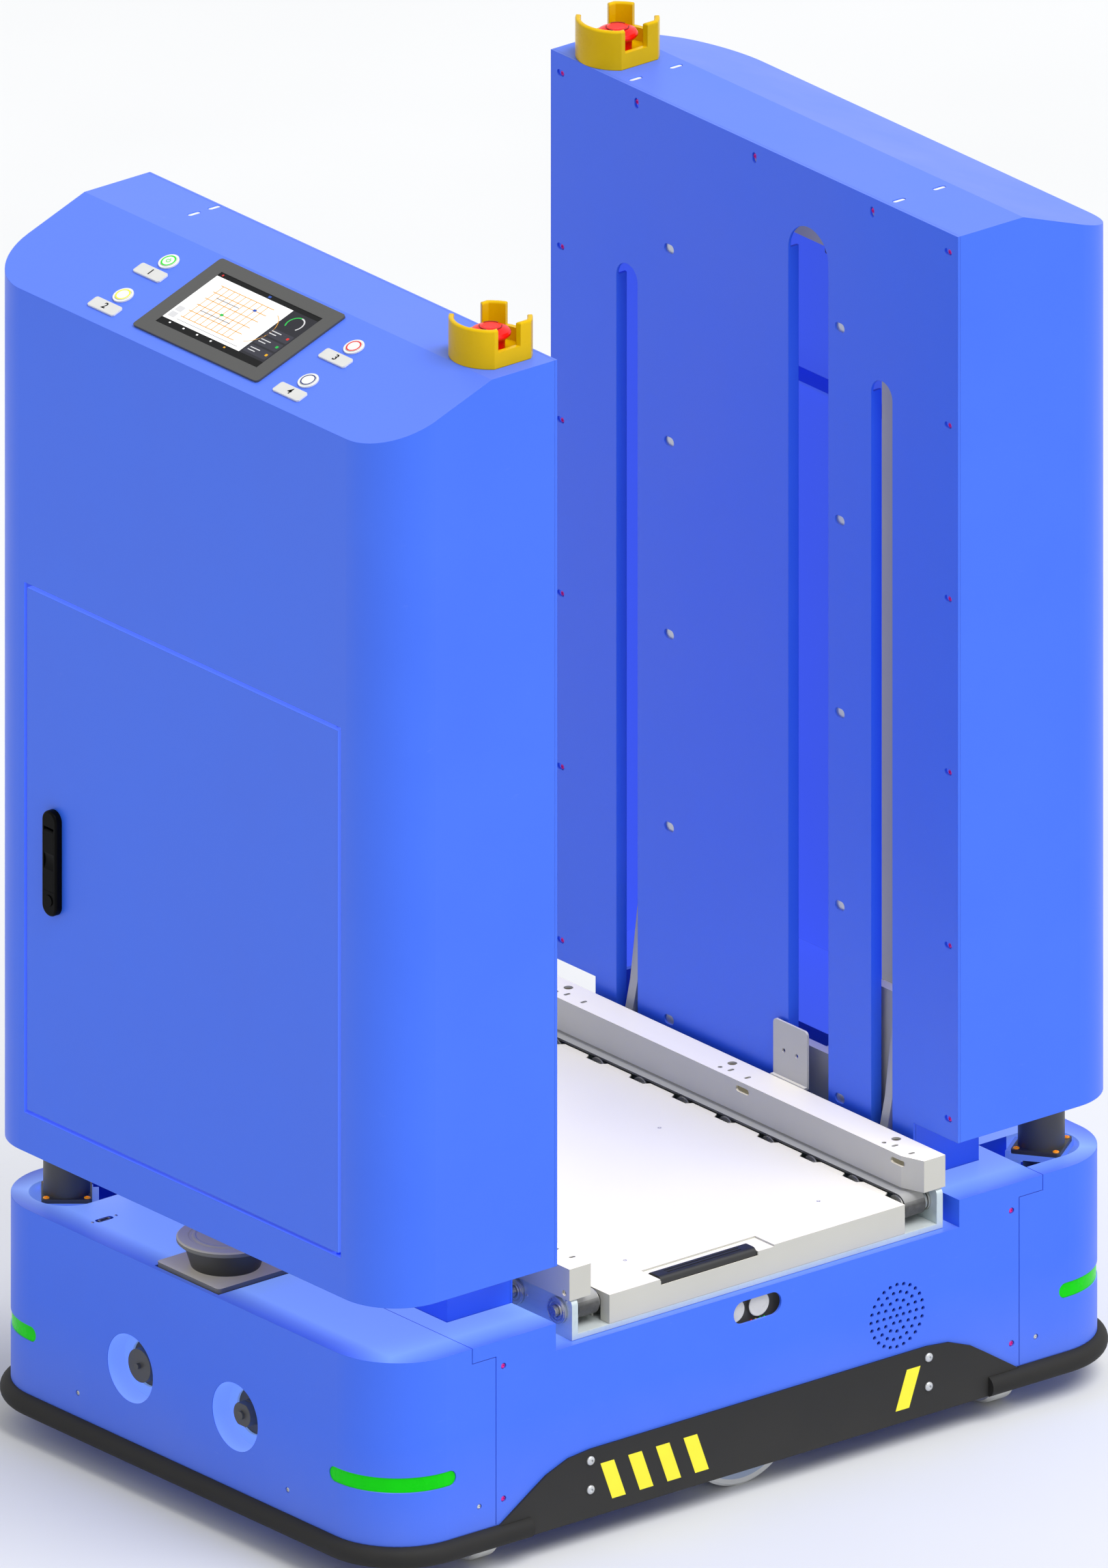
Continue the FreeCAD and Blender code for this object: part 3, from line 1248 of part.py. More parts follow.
# ------------------------------------------------------------------ write the nodes
def main():
    os.makedirs("parts", exist_ok=True)
    both = (-1, 1)
    save("chassis_frame", [chassis_frame()])
    save("bumper_carriers", [bumper_carrier(), cut(mirror_x(bumper_carrier()), [port_clearance(-1), port_clearance(1)])])
    save("left_end_cover", [left_end_cover()])
    save("right_end_cover", [end_cover()])
    save("front_side_cover", [front_side_cover()])
    save("rear_side_cover", [mirror_y(side_cover())])
    save("side_skirts", [skirt(), mirror_y(skirt())])
    save("bumpers", [bumper(), mirror_x(bumper())])
    save("light_strips", corner_copies(light_band(light_sunk, light_sunk + light_t, light_half, light_half)))
    save("battery_pack", [battery_pack()])
    save("control_box", [control_box()])
    save("drive_motors", [drive_motor(side) for side in both])
    save("end_scanner", [end_scanner()])
    save("corner_scanners", [corner_lidar(side) for side in both])
    save("port_connectors", port_connectors())
    save("speaker", [speaker()])
    save("optical_link", [optical_link()])
    save("tower_necks", [neck(), mirror_x(neck())])
    save("left_tower_shell", [left_tower_shell()])
    save("right_tower_shell", [right_tower_shell()])
    save("inner_panels", [inner_panel(), mirror_x(inner_panel())])
    save("lift_guides", [lift_guide(), mirror_x(lift_guide())])
    save("lift_motors", [lift_motor(), mirror_x(lift_motor())])
    save("right_lead_screw", [lead_screw()])
    save("left_lead_screw", [mirror_x(lead_screw())])
    save("lift_carriages", [carriage(side) for side in both])
    save("hmi_bezel", [hmi_bezel()])
    save("hmi_screen", [hmi_screen()])
    save("button_trim", button_trim())
    for name, (y, down) in zip(("green", "yellow", "red", "blue"), buttons()):
        save(name + "_button", [button_cap(y, down)])
    save("estop_guards", [estop_guard(side) for side in both])
    save("left_estop_head", [estop_head(-1)])
    save("right_estop_head", [estop_head(1)])
    save("door", [door()])
    save("latch_housing", [latch_housing()])
    save("latch_lever", [latch_lever()])
    save("latch_button", [latch_button()])
    save("deck_frame", [deck_frame()])
    save("deck_cover", [deck_cover()])
    save("guide_rails", [rail(side) for side in both])
    save("sensor_bracket", [sensor_bracket()])
    save("conveyor_belts", [belt(belt_left), belt(belt_right)])
    save("shaft_bearings", shaft_bearings())
    save("drive_roller", roller(-roller_y, pulley_fit))
    save("tail_roller", roller(roller_y, pulley_fit))
    save("idler_rollers", [fuse(roller(y, 0)) for y in roller_places()])
    save("stopper", [stopper()])
    save("left_drive_wheel", [drive_wheel(1)])
    save("right_drive_wheel", [drive_wheel(-1)])
    ends = {-1: "rear", 1: "front"}
    hands = {-1: "right", 1: "left"}
    for sx in both:
        for sy in both:
            name = "%s_%s_caster" % (ends[sx], hands[sy])
            save(name + "_fork", [caster_fork(sx, sy)])
            save(name + "_wheel", [caster_wheel(sx, sy)])


main()
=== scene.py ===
import bpy
import bmesh
import numpy as np
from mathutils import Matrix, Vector


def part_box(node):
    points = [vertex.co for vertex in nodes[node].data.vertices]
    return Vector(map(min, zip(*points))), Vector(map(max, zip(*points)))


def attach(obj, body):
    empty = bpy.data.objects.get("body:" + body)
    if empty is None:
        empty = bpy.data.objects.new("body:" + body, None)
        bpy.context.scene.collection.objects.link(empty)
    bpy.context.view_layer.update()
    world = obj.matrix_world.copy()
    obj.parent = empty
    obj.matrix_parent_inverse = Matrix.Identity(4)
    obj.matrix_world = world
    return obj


# Autonomous mobile robot with a belt conveyor that two towers lift.
# Metres, +X is the travel direction, +Y the left hand side, +Z up.

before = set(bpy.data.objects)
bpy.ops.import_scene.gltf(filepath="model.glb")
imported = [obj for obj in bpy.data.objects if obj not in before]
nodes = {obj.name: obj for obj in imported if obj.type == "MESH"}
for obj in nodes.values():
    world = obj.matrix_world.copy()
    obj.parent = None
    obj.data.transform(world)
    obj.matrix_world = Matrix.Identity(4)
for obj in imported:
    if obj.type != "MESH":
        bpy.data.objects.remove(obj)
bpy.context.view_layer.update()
scene = bpy.context.scene
print("frame loaded:", len(nodes), "nodes")

# colours and materials

def linear(hexColour):
    # sRGB hex to linear red, green, blue, alpha
    part = np.array([int(hexColour[i:i + 2], 16) for i in (1, 3, 5)]) / 255
    line = np.where(part <= 0.04045, part / 12.92, ((part + 0.055) / 1.055) ** 2.4)
    return (*line.tolist(), 1.0)


def addNode(tree, kind, settings=None, links=None):
    # one shader node, its settings or socket values, and its incoming links
    node = tree.nodes.new("ShaderNode" + kind)
    for key, value in (settings or {}).items():
        if isinstance(key, str) and hasattr(node, key):
            setattr(node, key, value)
        else:
            node.inputs[key].default_value = value
    for key, source in (links or {}).items():
        tree.links.new(source, node.inputs[key])
    return node


def blend(tree, share, tone, colour):
    # the tone, turned to a colour by the share
    return addNode(tree, "Mix", {"data_type": "RGBA", 7: linear(colour)},
                   {0: share, 6: tone}).outputs[2]


def ramp(tree, value, start, end, low, high):
    # low to high while the value runs from start to end
    limits = {"From Min": start, "From Max": end, "To Min": low, "To Max": high}
    return addNode(tree, "MapRange", limits, {"Value": value}).outputs["Result"]


def reckon(tree, kind, operation, first, second, result=0):
    # a sum of two sockets, or of a socket and a constant, on numbers (Math) or vectors (VectorMath)
    values, links = {"operation": operation}, {}
    for end, given in enumerate((first, second)):
        (values if isinstance(given, (float, tuple)) else links)[end] = given
    return addNode(tree, kind, values, links).outputs[result]


def along(tree, source, axis):
    # one part of a vector
    return addNode(tree, "SeparateXYZ", None, {0: source}).outputs[axis]


patchSpread = (0.3, 0.7)         # noise values between which the roughness runs
paintedTopSpread = (0.2, 0.98)           # share of up in a face's direction, from no painted highlight to full painted highlight
faceLimits = {"up": 0.5, "level": 0.8, "sideways": 0.5}
dustColour = "#9A9488"


def bounceShare(tree, place, outward, where, size):
    # where light bounces about between coated walls, in gaps too deep for the lamps
    if where == "inside":
        # faces that look towards the middle of the housing
        away = reckon(tree, "VectorMath", "SUBTRACT", place, size[0])
        facing = reckon(tree, "VectorMath", "DOT_PRODUCT", away, outward, "Value")
        return reckon(tree, "Math", "LESS_THAN", facing, 0.0)
    if where == "up":
        return reckon(tree, "Math", "GREATER_THAN", along(tree, outward, "Z"), faceLimits["up"])
    if where == "edges":
        # faces that look sideways out of a thin panel
        limits = {"operation": "COMPARE", 1: 0.0, 2: faceLimits["sideways"]}
        return addNode(tree, "Math", limits, {0: along(tree, outward, "X")}).outputs[0]
    if where == "wells":
        # walls and floors of two round wells, within a radius of their axes and sunk below the
        # sheet's face
        flatten, spots, radius, face, sunk = size
        flat = reckon(tree, "VectorMath", "MULTIPLY", place, flatten)
        reach = [reckon(tree, "VectorMath", "DISTANCE", flat, spot, "Value") for spot in spots]
        near = reckon(tree, "Math", "LESS_THAN", reckon(tree, "Math", "MINIMUM", *reach), radius)
        low = reckon(tree, "Math", "LESS_THAN", reckon(tree, "VectorMath", "DOT_PRODUCT", place,
                                                       face, "Value"), sunk)
        return reckon(tree, "Math", "MULTIPLY", near, low)
    # faces that look up from below a tower, growing over the reach from its outline inwards
    half, reach = size
    fold = addNode(tree, "VectorMath", {"operation": "ABSOLUTE"}, {0: place}).outputs["Vector"]
    deep = reckon(tree, "VectorMath", "SUBTRACT", half, fold)
    near = reckon(tree, "Math", "MINIMUM", along(tree, deep, "X"), along(tree, deep, "Y"))
    level = reckon(tree, "Math", "GREATER_THAN", along(tree, outward, "Z"), faceLimits["level"])
    return reckon(tree, "Math", "MULTIPLY", ramp(tree, near, 0.0, reach, 0.0, 1.0), level)


def makeMaterial(name, look):
    # base colour drifts between two tones over patches, a fine grain lifts the surface,
    # roughness follows the patches, and edges are eased by a small radius
    made = bpy.data.materials.new(name)
    made.use_nodes = True
    tree = made.node_tree
    shader = tree.nodes["Principled BSDF"]
    shader.inputs["Metallic"].default_value = look.get("metallic", 0.0)
    shader.inputs["IOR"].default_value = 1.5
    shader.inputs["Specular IOR Level"].default_value = look.get("sheen", 0.5)
    if "coat" in look:
        shader.inputs["Coat Weight"].default_value = look["coat"]
        shader.inputs["Coat Roughness"].default_value = look["coatRoughness"]
    if "glow" in look:
        shader.inputs["Emission Color"].default_value = linear(look["tones"][1])
        shader.inputs["Emission Strength"].default_value = look["glow"]
    place = addNode(tree, "TexCoord").outputs["Object"]
    outward = addNode(tree, "TexCoord").outputs["Normal"]
    patch = addNode(tree, "TexNoise", {"Scale": 1000 / look["patchMm"], "Detail": 3.0,
                                       "Roughness": 0.55},
                    {"Vector": place}).outputs["Fac"]
    tone = addNode(tree, "Mix", {"data_type": "RGBA", 6: linear(look["tones"][0]),
                                 7: linear(look["tones"][1])},
                   {0: patch}).outputs[2]
    rough = ramp(tree, patch, *patchSpread, *look["rough"])
    if "scuff" in look:
        # short pale rubs, stretched along one axis
        scuff = look["scuff"]
        stretch = addNode(tree, "Mapping", {"Scale": scuff["stretch"]},
                          {"Vector": place}).outputs["Vector"]
        rub = addNode(tree, "TexNoise", {"Scale": 1000 / scuff["mm"], "Detail": 6.0,
                                         "Roughness": 0.7},
                      {"Vector": stretch}).outputs["Fac"]
        tone = blend(tree, ramp(tree, rub, scuff["from"], scuff["to"], 0.0, scuff["amount"]), tone,
                     scuff["colour"])
    if "dustTop" in look:
        # road dust that thins out upwards from the floor
        fade = ramp(tree, along(tree, place, "Z"), 0.0, look["dustTop"], look.get("dust", 0.32),
                    0.0)
        tone = blend(tree, reckon(tree, "Math", "MULTIPLY", fade, patch), tone, dustColour)
    if "paintedTopLight" in look:
        # painted highlight: faces that look up are mixed towards a pale colour, standing in for the
        # light from above
        amount, colour = look["paintedTopLight"]
        tone = blend(tree, ramp(tree, along(tree, outward, "Z"), *paintedTopSpread, 0.0, amount), tone,
                     colour)
    if "band" in look:
        # second colour between two distances from an axis or along it
        axis, centre, start, end, colour = look["band"]
        if axis == "radius":
            flat = reckon(tree, "VectorMath", "MULTIPLY", place, look["bandAxes"])
            reach = reckon(tree, "VectorMath", "DISTANCE", flat, centre, "Value")
        else:
            reach = along(tree, place, axis)
        above = reckon(tree, "Math", "GREATER_THAN", reach, start)
        below = reckon(tree, "Math", "LESS_THAN", reach, end)
        tone = blend(tree, reckon(tree, "Math", "MULTIPLY", above, below), tone, colour)
    glow = None
    # painted bounce light: emission on the faces the masks pick out, at the strongest of their
    # strengths
    for where, strength, colour, *size in look.get("bounce", []):
        lift = reckon(tree, "Math", "MULTIPLY", bounceShare(tree, place, outward, where, size),
                      strength)
        glow = lift if glow is None else reckon(tree, "Math", "MAXIMUM", glow, lift)
        shader.inputs["Emission Color"].default_value = linear(colour)
        tree.links.new(glow, shader.inputs["Emission Strength"])
    grain = addNode(tree, "TexNoise", {"Scale": 1000 / look["grainMm"], "Detail": 2.0},
                    {"Vector": place})
    soft = addNode(tree, "Bevel", {"samples": 4, "Radius": look.get("edgeMm", 0.6) / 1000})
    bump = addNode(tree, "Bump", {"Strength": look.get("lift", 0.12),
                                  "Distance": look["grainMm"] / 3000},
                   {"Height": grain.outputs["Fac"], "Normal": soft.outputs["Normal"]})
    tree.links.new(tone, shader.inputs["Base Color"])
    tree.links.new(rough, shader.inputs["Roughness"])
    tree.links.new(bump.outputs["Normal"], shader.inputs["Normal"])
    return made


# wells of the corner scanners, open upwards, and of the two connectors, open to the rear:
# plane across the well, middles on it, radius, way out, and where along that the sheet's face lies
scannerWells = ((1.0, 1.0, 0.0), ((-0.4275, 0.2645, 0.0), (0.4275, -0.2645, 0.0)), 0.0415,
                (0.0, 0.0, 1.0), 0.2545)
portWells = ((0.0, 1.0, 1.0), ((0.0, 0.085, 0.1305), (0.0, -0.085, 0.1305)), 0.0385,
             (-1.0, 0.0, 0.0), 0.4893)
looks = {
    # polyester powder coat on sheet steel: even colour, faint orange peel about 1.5 mm across
    "powderCoatBlue": {"tones": ("#2F66EE", "#3A6FF5"), "patchMm": 160, "grainMm": 1.5,
                       "lift": 0.10, "rough": (0.36, 0.46), "edgeMm": 0.9,
                       # a painted highlight pales the faces that look up
                       "paintedTopLight": (0.06, "#F2F3F8"),
                       "scuff": {"stretch": (1, 1, 3), "mm": 26, "from": 0.66, "to": 0.80,
                                 "amount": 0.10, "colour": "#8FA6F6"}},
    # the same coat low on the base, with floor dust; a painted highlight pales the faces that look
    # up, and painted bounce light brightens them under the towers and the walls and floors of the
    # scanner and connector wells
    "powderCoatBase": {"tones": ("#2F66EE", "#3A6FF5"), "patchMm": 130, "grainMm": 1.5,
                       "lift": 0.10, "rough": (0.38, 0.50), "edgeMm": 0.9, "dustTop": 0.16,
                       "paintedTopLight": (0.07, "#F2F3F8"),
                       "bounce": [("under", 0.50, "#9CC4FF", (0.49, 0.33, 0.0), 0.035),
                                  ("wells", 0.36, "#9CC4FF", *scannerWells),
                                  ("wells", 0.40, "#9CC4FF", *portWells)],
                       "scuff": {"stretch": (1, 1, 4), "mm": 20, "from": 0.64, "to": 0.80,
                                 "amount": 0.14, "colour": "#8FA6F6"}},
    # thinner coat inside, duller, with painted bounce light on the faces that look up and in the
    # scanner and connector wells
    "powderCoatInner": {"tones": ("#2E55C8", "#375FD6"), "patchMm": 90, "grainMm": 1.5,
                        "rough": (0.5, 0.62),
                        "bounce": [("up", 0.35, "#7CA4FF"), ("wells", 0.36, "#7CA4FF",
                                                             *scannerWells),
                                   ("wells", 0.40, "#7CA4FF", *portWells)]},
    # white powder coat of deck, rails and carriages, painted grey on the sides and near white on
    # the faces that look up, a painted shade and highlight, with a little painted bounce light on
    # top
    "powderCoatWhite": {"tones": ("#BDBCB4", "#C7C6BE"), "paintedTopLight": (0.95, "#FFFAEC"),
                        "patchMm": 120, "bounce": [("up", 0.12, "#FFF4DC")], "grainMm": 1.4,
                        "lift": 0.08, "rough": (0.34, 0.44), "edgeMm": 0.7,
                        "scuff": {"stretch": (1, 4, 1), "mm": 14, "from": 0.62, "to": 0.78,
                                  "amount": 0.30, "colour": "#C2C2C0"}},
    # dark matt coat of the skirts
    "powderCoatBlack": {"tones": ("#1E1E1E", "#262626"), "patchMm": 70, "grainMm": 1.2,
                        "lift": 0.14, "sheen": 0.3, "rough": (0.55, 0.68), "dustTop": 0.12,
                        "dust": 0.07},
    # clear anodised aluminium, drawn section: cool grey with long fine lines, and a painted
    # highlight that pales the faces that look up
    "anodisedAluminium": {"tones": ("#BECDD2", "#CEDBDF"), "patchMm": 60, "grainMm": 0.9,
                          "metallic": 0.3, "paintedTopLight": (0.8, "#F4FBFB"), "rough": (0.36, 0.46),
                          "scuff": {"stretch": (1, 0.06, 1), "mm": 5, "from": 0.5, "to": 0.72,
                                    "amount": 0.25, "colour": "#9FB0B7"}},
    # grey anodised lift columns, with a faint glow of painted light that keeps them pale in the
    # shade inside the towers
    "columnAluminium": {"tones": ("#9C9C9B", "#A9A9A7"), "patchMm": 80, "grainMm": 0.9,
                        "metallic": 0.3, "rough": (0.4, 0.5), "glow": 0.3},
    # turned and ground steel of shafts, bearings and screws
    "turnedSteel": {"tones": ("#B9B8B4", "#CDCCC8"), "patchMm": 18, "grainMm": 0.5,
                    "metallic": 0.85, "rough": (0.24, 0.36), "edgeMm": 0.4},
    "zincSteel": {"tones": ("#C4C6C8", "#D6D8DA"), "patchMm": 10, "grainMm": 0.6, "metallic": 0.7,
                  "rough": (0.3, 0.42), "edgeMm": 0.3},
    # violet anodised rivet nuts and screws
    "magentaAnodised": {"tones": ("#D8269C", "#EC3CB4"), "patchMm": 3, "grainMm": 0.4,
                        "metallic": 0.35, "rough": (0.3, 0.4), "edgeMm": 0.2},
    # moulded EPDM rubber: fine sparkle-free grain, bloom on top
    "mouldedRubber": {"tones": ("#191919", "#222222"), "patchMm": 45, "grainMm": 0.8, "lift": 0.22,
                      "sheen": 0.25, "rough": (0.62, 0.78), "dustTop": 0.09, "dust": 0.08},
    # woven belt with a rubber cover: dull, rubbed lighter on the run, its top paled further by a
    # painted highlight and a little painted bounce light
    "beltRubber": {"tones": ("#3B3B3B", "#4A4A4A"), "patchMm": 24, "grainMm": 1.0, "lift": 0.3,
                   "rough": (0.6, 0.74), "paintedTopLight": (0.8, "#B4B4B2"),
                   "bounce": [("up", 0.14, "#D0D0D0")],
                   "scuff": {"stretch": (1, 0.08, 1), "mm": 8, "from": 0.45, "to": 0.7,
                             "amount": 0.35, "colour": "#6A6A6A"}},
    # moulded ABS and polyamide housings
    "mouldedBlack": {"tones": ("#040404", "#080808"), "patchMm": 30, "grainMm": 0.7, "lift": 0.12,
                     "rough": (0.3, 0.4), "edgeMm": 0.4, "sheen": 0.05},
    "mouldedDark": {"tones": ("#454544", "#4E4E4D"), "patchMm": 30, "grainMm": 0.7, "lift": 0.16,
                    "rough": (0.46, 0.58), "edgeMm": 0.8},
    "scannerHousing": {"tones": ("#3E3E3E", "#4A4A4A"), "patchMm": 28, "grainMm": 0.7, "lift": 0.14,
                       "rough": (0.42, 0.52), "edgeMm": 0.8},
    "stopperPolyamide": {"tones": ("#1E1E1E", "#282828"), "patchMm": 20, "grainMm": 0.8,
                         "rough": (0.4, 0.5), "edgeMm": 0.8},
    "mouldedWhite": {"tones": ("#E2E3E0", "#EDEEEB"), "patchMm": 20, "grainMm": 0.8, "lift": 0.08,
                     "rough": (0.32, 0.42), "edgeMm": 0.5},
    "labelPlate": {"tones": ("#CFCFCD", "#DADAD8"), "patchMm": 12, "grainMm": 0.6,
                   "rough": (0.36, 0.46), "edgeMm": 0.4},
    "nylonWheel": {"tones": ("#DADBD6", "#E8E8E4"), "patchMm": 24, "grainMm": 0.8,
                   "rough": (0.42, 0.55), "dustTop": 0.05},
    # glass-filled moulded guard, signal yellow, gloss
    "guardYellow": {"tones": ("#D8AE00", "#E4BC00"), "patchMm": 30, "grainMm": 1.0, "lift": 0.05,
                    "rough": (0.24, 0.34), "edgeMm": 1.2, "sheen": 0.15},
    "headRed": {"tones": ("#F00606", "#FC1010"), "patchMm": 18, "grainMm": 0.9, "lift": 0.04,
                "rough": (0.24, 0.32), "edgeMm": 0.8, "sheen": 0.3},
    "markRed": {"tones": ("#8E0505", "#A00606"), "patchMm": 8, "grainMm": 0.5, "rough": (0.4, 0.5)},
    # acrylic diffuser lit from behind
    "lightDiffuser": {"tones": ("#00AC00", "#00C800"), "patchMm": 22, "grainMm": 0.9,
                      "rough": (0.24, 0.32), "glow": 0.22, "sheen": 0.15},
    "signYellow": {"tones": ("#F0E62A", "#FBF032"), "patchMm": 20, "grainMm": 0.6, "lift": 0.06,
                   "rough": (0.4, 0.5), "edgeMm": 0.2},
    # orange caps of the scanner screws, glowing a little as painted light
    "orangeCap": {"tones": ("#F09008", "#FF9E12"), "patchMm": 5, "grainMm": 0.5,
                  "rough": (0.3, 0.4), "edgeMm": 0.4, "glow": 0.3},
    # lens glass and optic housing glow a little as painted light
    "opticGlass": {"tones": ("#BEBEBE", "#C8C8C8"), "patchMm": 12, "grainMm": 0.5,
                   "rough": (0.26, 0.34), "coat": 0.15, "coatRoughness": 0.1, "glow": 0.08},
    "opticHousing": {"tones": ("#363636", "#3E3E3E"), "patchMm": 14, "grainMm": 0.6,
                     "rough": (0.44, 0.54), "edgeMm": 0.4, "glow": 0.25},
    # display: cover glass over a lit panel
    "coverGlass": {"tones": ("#0B0B0C", "#101011"), "patchMm": 60, "grainMm": 0.8, "lift": 0.01,
                   "rough": (0.16, 0.22), "sheen": 0.15},
    # blue coat with painted bounce light: faces inside each tower, seen through the slots, glow,
    # and so do the sideways edges of the door
    "towerLeftPaintedBounce": {"base": "powderCoatBlue",
                  "bounce": [("inside", 0.42, "#5A78DC", (-0.377, 0.0, 0.8))]},
    "towerRightPaintedBounce": {"base": "powderCoatBlue",
                   "bounce": [("inside", 0.42, "#5A78DC", (0.377, 0.0, 0.8))]},
    "doorCoatPaintedBounce": {"base": "powderCoatBlue", "bounce": [("edges", 0.5, "#6C90FF")]},
    # blue coat of the necks and white coat of the rails, with painted bounce light on their faces
    # that look up
    "neckCoatPaintedBounce": {"base": "powderCoatBlue", "bounce": [("up", 0.5, "#6C90FF")]},
    "railCoatPaintedBounce": {"base": "powderCoatWhite", "bounce": [("up", 0.32, "#FFF4DC")]},
    # dull grey face of the disc and its plate, darker cone between them; the faces that look up are
    # paled by a painted highlight and painted bounce light
    "endScannerHousing": {"base": "scannerHousing", "tones": ("#5E5E5E", "#6A6A6A"),
                          "paintedTopLight": (0.7, "#C4C4C2"), "bounce": [("up", 0.22, "#C8BCA4")],
                          "band": (2, 0, 0.2588, 0.2842, "#333333")},
    # pale blue cast hub with a bonded tyre
    "driveWheel": {"tones": ("#9FB2D4", "#B0C2E0"), "patchMm": 30, "grainMm": 0.9,
                   "rough": (0.45, 0.55), "dustTop": 0.06, "bandAxes": (1.0, 0.0, 1.0),
                   "band": ("radius", (0.0, 0.0, 0.0756), 0.068, 1.0, "#DADCDD")},
    "screwSteel": {"tones": ("#8E8D8A", "#A3A29E"), "patchMm": 14, "grainMm": 0.6, "metallic": 0.8,
                   "rough": (0.3, 0.42)},
}
screenTones = {"Black": "#050506", "Panel": "#26262C", "Card": "#35353E", "White": "#F4F4F4",
               "Grey": "#C9C9CB", "Orange": "#D99A3C", "Line": "#6C6C70", "Green": "#27B24A",
               "Red": "#C8322E", "Blue": "#2C4FA8", "Amber": "#E2A51E"}
for tone, colour in screenTones.items():
    looks["display" + tone] = {"tones": (colour, colour), "patchMm": 9, "grainMm": 0.6,
                               "lift": 0.01, "rough": (0.2, 0.28), "glow": 0.16, "edgeMm": 0.05,
                               "sheen": 0.12}
ringTones = {"Green": "#12D21C", "Yellow": "#E6E628", "Red": "#D81818", "Blue": "#14266E"}
for tone, colour in ringTones.items():
    looks["ring" + tone] = {"tones": (colour, colour), "patchMm": 6, "grainMm": 0.5, "lift": 0.03,
                            "rough": (0.24, 0.34), "edgeMm": 0.1, "sheen": 0.25, "glow": 0.1}
material = {}
for name, look in looks.items():
    material[name] = makeMaterial(name, {**looks.get(look.get("base"), {}), **look})
print("materials made:", len(material))

nodeFinish = {
    "powderCoatBlue": ["inner_panels"],
    "neckCoatPaintedBounce": ["tower_necks"],
    "railCoatPaintedBounce": ["guide_rails"],
    "towerLeftPaintedBounce": ["left_tower_shell"],
    "towerRightPaintedBounce": ["right_tower_shell"],
    "doorCoatPaintedBounce": ["door"],
    "powderCoatBase": ["left_end_cover", "right_end_cover", "front_side_cover", "rear_side_cover"],
    "powderCoatInner": ["chassis_frame", "bumper_carriers"],
    "powderCoatWhite": ["deck_cover", "sensor_bracket", "lift_carriages"],
    "powderCoatBlack": ["side_skirts"],
    "anodisedAluminium": ["deck_frame"],
    "columnAluminium": ["lift_guides", "control_box"],
    "screwSteel": ["right_lead_screw", "left_lead_screw"],
    "turnedSteel": ["shaft_bearings", "drive_roller", "tail_roller",
                    "idler_rollers", "drive_motors", "rear_right_caster_fork",
                    "rear_left_caster_fork", "front_right_caster_fork", "front_left_caster_fork"],
    "mouldedRubber": ["bumpers"],
    "beltRubber": ["conveyor_belts"],
    "opticHousing": ["optical_link"],
    "mouldedBlack": ["speaker", "lift_motors", "battery_pack", "latch_housing", "latch_lever",
                     "latch_button"],
    "mouldedDark": ["hmi_bezel", "port_connectors"],
    "scannerHousing": ["corner_scanners"],
    "endScannerHousing": ["end_scanner"],
    "stopperPolyamide": ["stopper"],
    "mouldedWhite": ["button_trim", "green_button", "yellow_button", "red_button", "blue_button"],
    "nylonWheel": ["rear_right_caster_wheel", "rear_left_caster_wheel", "front_right_caster_wheel",
                   "front_left_caster_wheel"],
    "guardYellow": ["estop_guards"],
    "headRed": ["left_estop_head", "right_estop_head"],
    "lightDiffuser": ["light_strips"],
    "coverGlass": ["hmi_screen"],
    "driveWheel": ["left_drive_wheel", "right_drive_wheel"],
}
for finish, names in nodeFinish.items():
    for name in names:
        if name not in nodes:
            continue
        for place in nodes[name].material_slots:
            place.material = material[finish]
print("carried-over pieces finished")

# surfaces on a grid

def revolved(profile, turns):
    # rows of radius, height, share of hexagon: x = r cos a, y = r sin a, z = h over a full turn,
    # where a hexagon's radius is r / cos(angle to the nearest flat's middle)
    profile = np.array([row if len(row) == 3 else (*row, 0.0) for row in profile], float)
    angle = np.linspace(0, 2 * np.pi, turns, endpoint=False)[:, None]
    toFlat = (angle + np.pi / 6) % (np.pi / 3) - np.pi / 6
    radius = profile[None, :, 0] * (1 + profile[None, :, 2] * (1 / np.cos(toFlat) - 1))
    height = profile[None, :, 1] + 0 * angle
    return np.stack([radius * np.cos(angle), radius * np.sin(angle), height], -1)


def slab(outline, low, high, edge=0.0):
    # closed outline, carried from its middle below, up the side, to its middle on top
    outline = np.array(outline, float)
    middle = outline.mean(0)
    reach = np.abs(outline - middle).max(0)
    inner = middle + (outline - middle) * (1 - edge / reach)
    rings = [(middle + 0 * outline, low), (inner, low), (outline, low + edge),
             (outline, high - edge), (inner, high), (middle + 0 * outline, high)]
    return np.stack([np.c_[ring, np.full(len(ring), level)] for ring, level in rings], 1)


def bar(width, height, low, high, x=0.0, y=0.0, corner=0.0, edge=0.0):
    # rectangle with round corners, as a slab
    if corner:
        turn = np.linspace(0, np.pi / 2, 6)
        arc = np.c_[np.cos(turn), np.sin(turn)] * corner
        w, h = width / 2 - corner, height / 2 - corner
        outline = np.concatenate([arc + (w, h), arc[:, ::-1] * (-1, 1) + (-w, h), -arc + (-w, -h),
                                  arc[:, ::-1] * (1, -1) + (w, -h)])
    else:
        outline = np.array([(1, 1), (-1, 1), (-1, -1), (1, -1)]) * (width / 2, height / 2)
    return slab(outline + (x, y), low, high, edge)


def strip(path, width, low, high):
    # path on the plane with half the width to each side of every point, as a slab of box sections
    path = np.array(path, float)
    step = np.gradient(path, axis=0)
    side = np.c_[-step[:, 1], step[:, 0]] / np.linalg.norm(step, axis=1)[:, None] * width / 2
    level = np.ones(len(path))
    edges = [(path + side, low), (path + side, high), (path - side, high), (path - side, low)]
    tube = np.stack([np.c_[edge, height * level] for edge, height in edges])
    middle = tube.mean(0, keepdims=True).repeat(len(tube), 0)
    return np.concatenate([middle[:, :1], tube, middle[:, -1:]], 1)


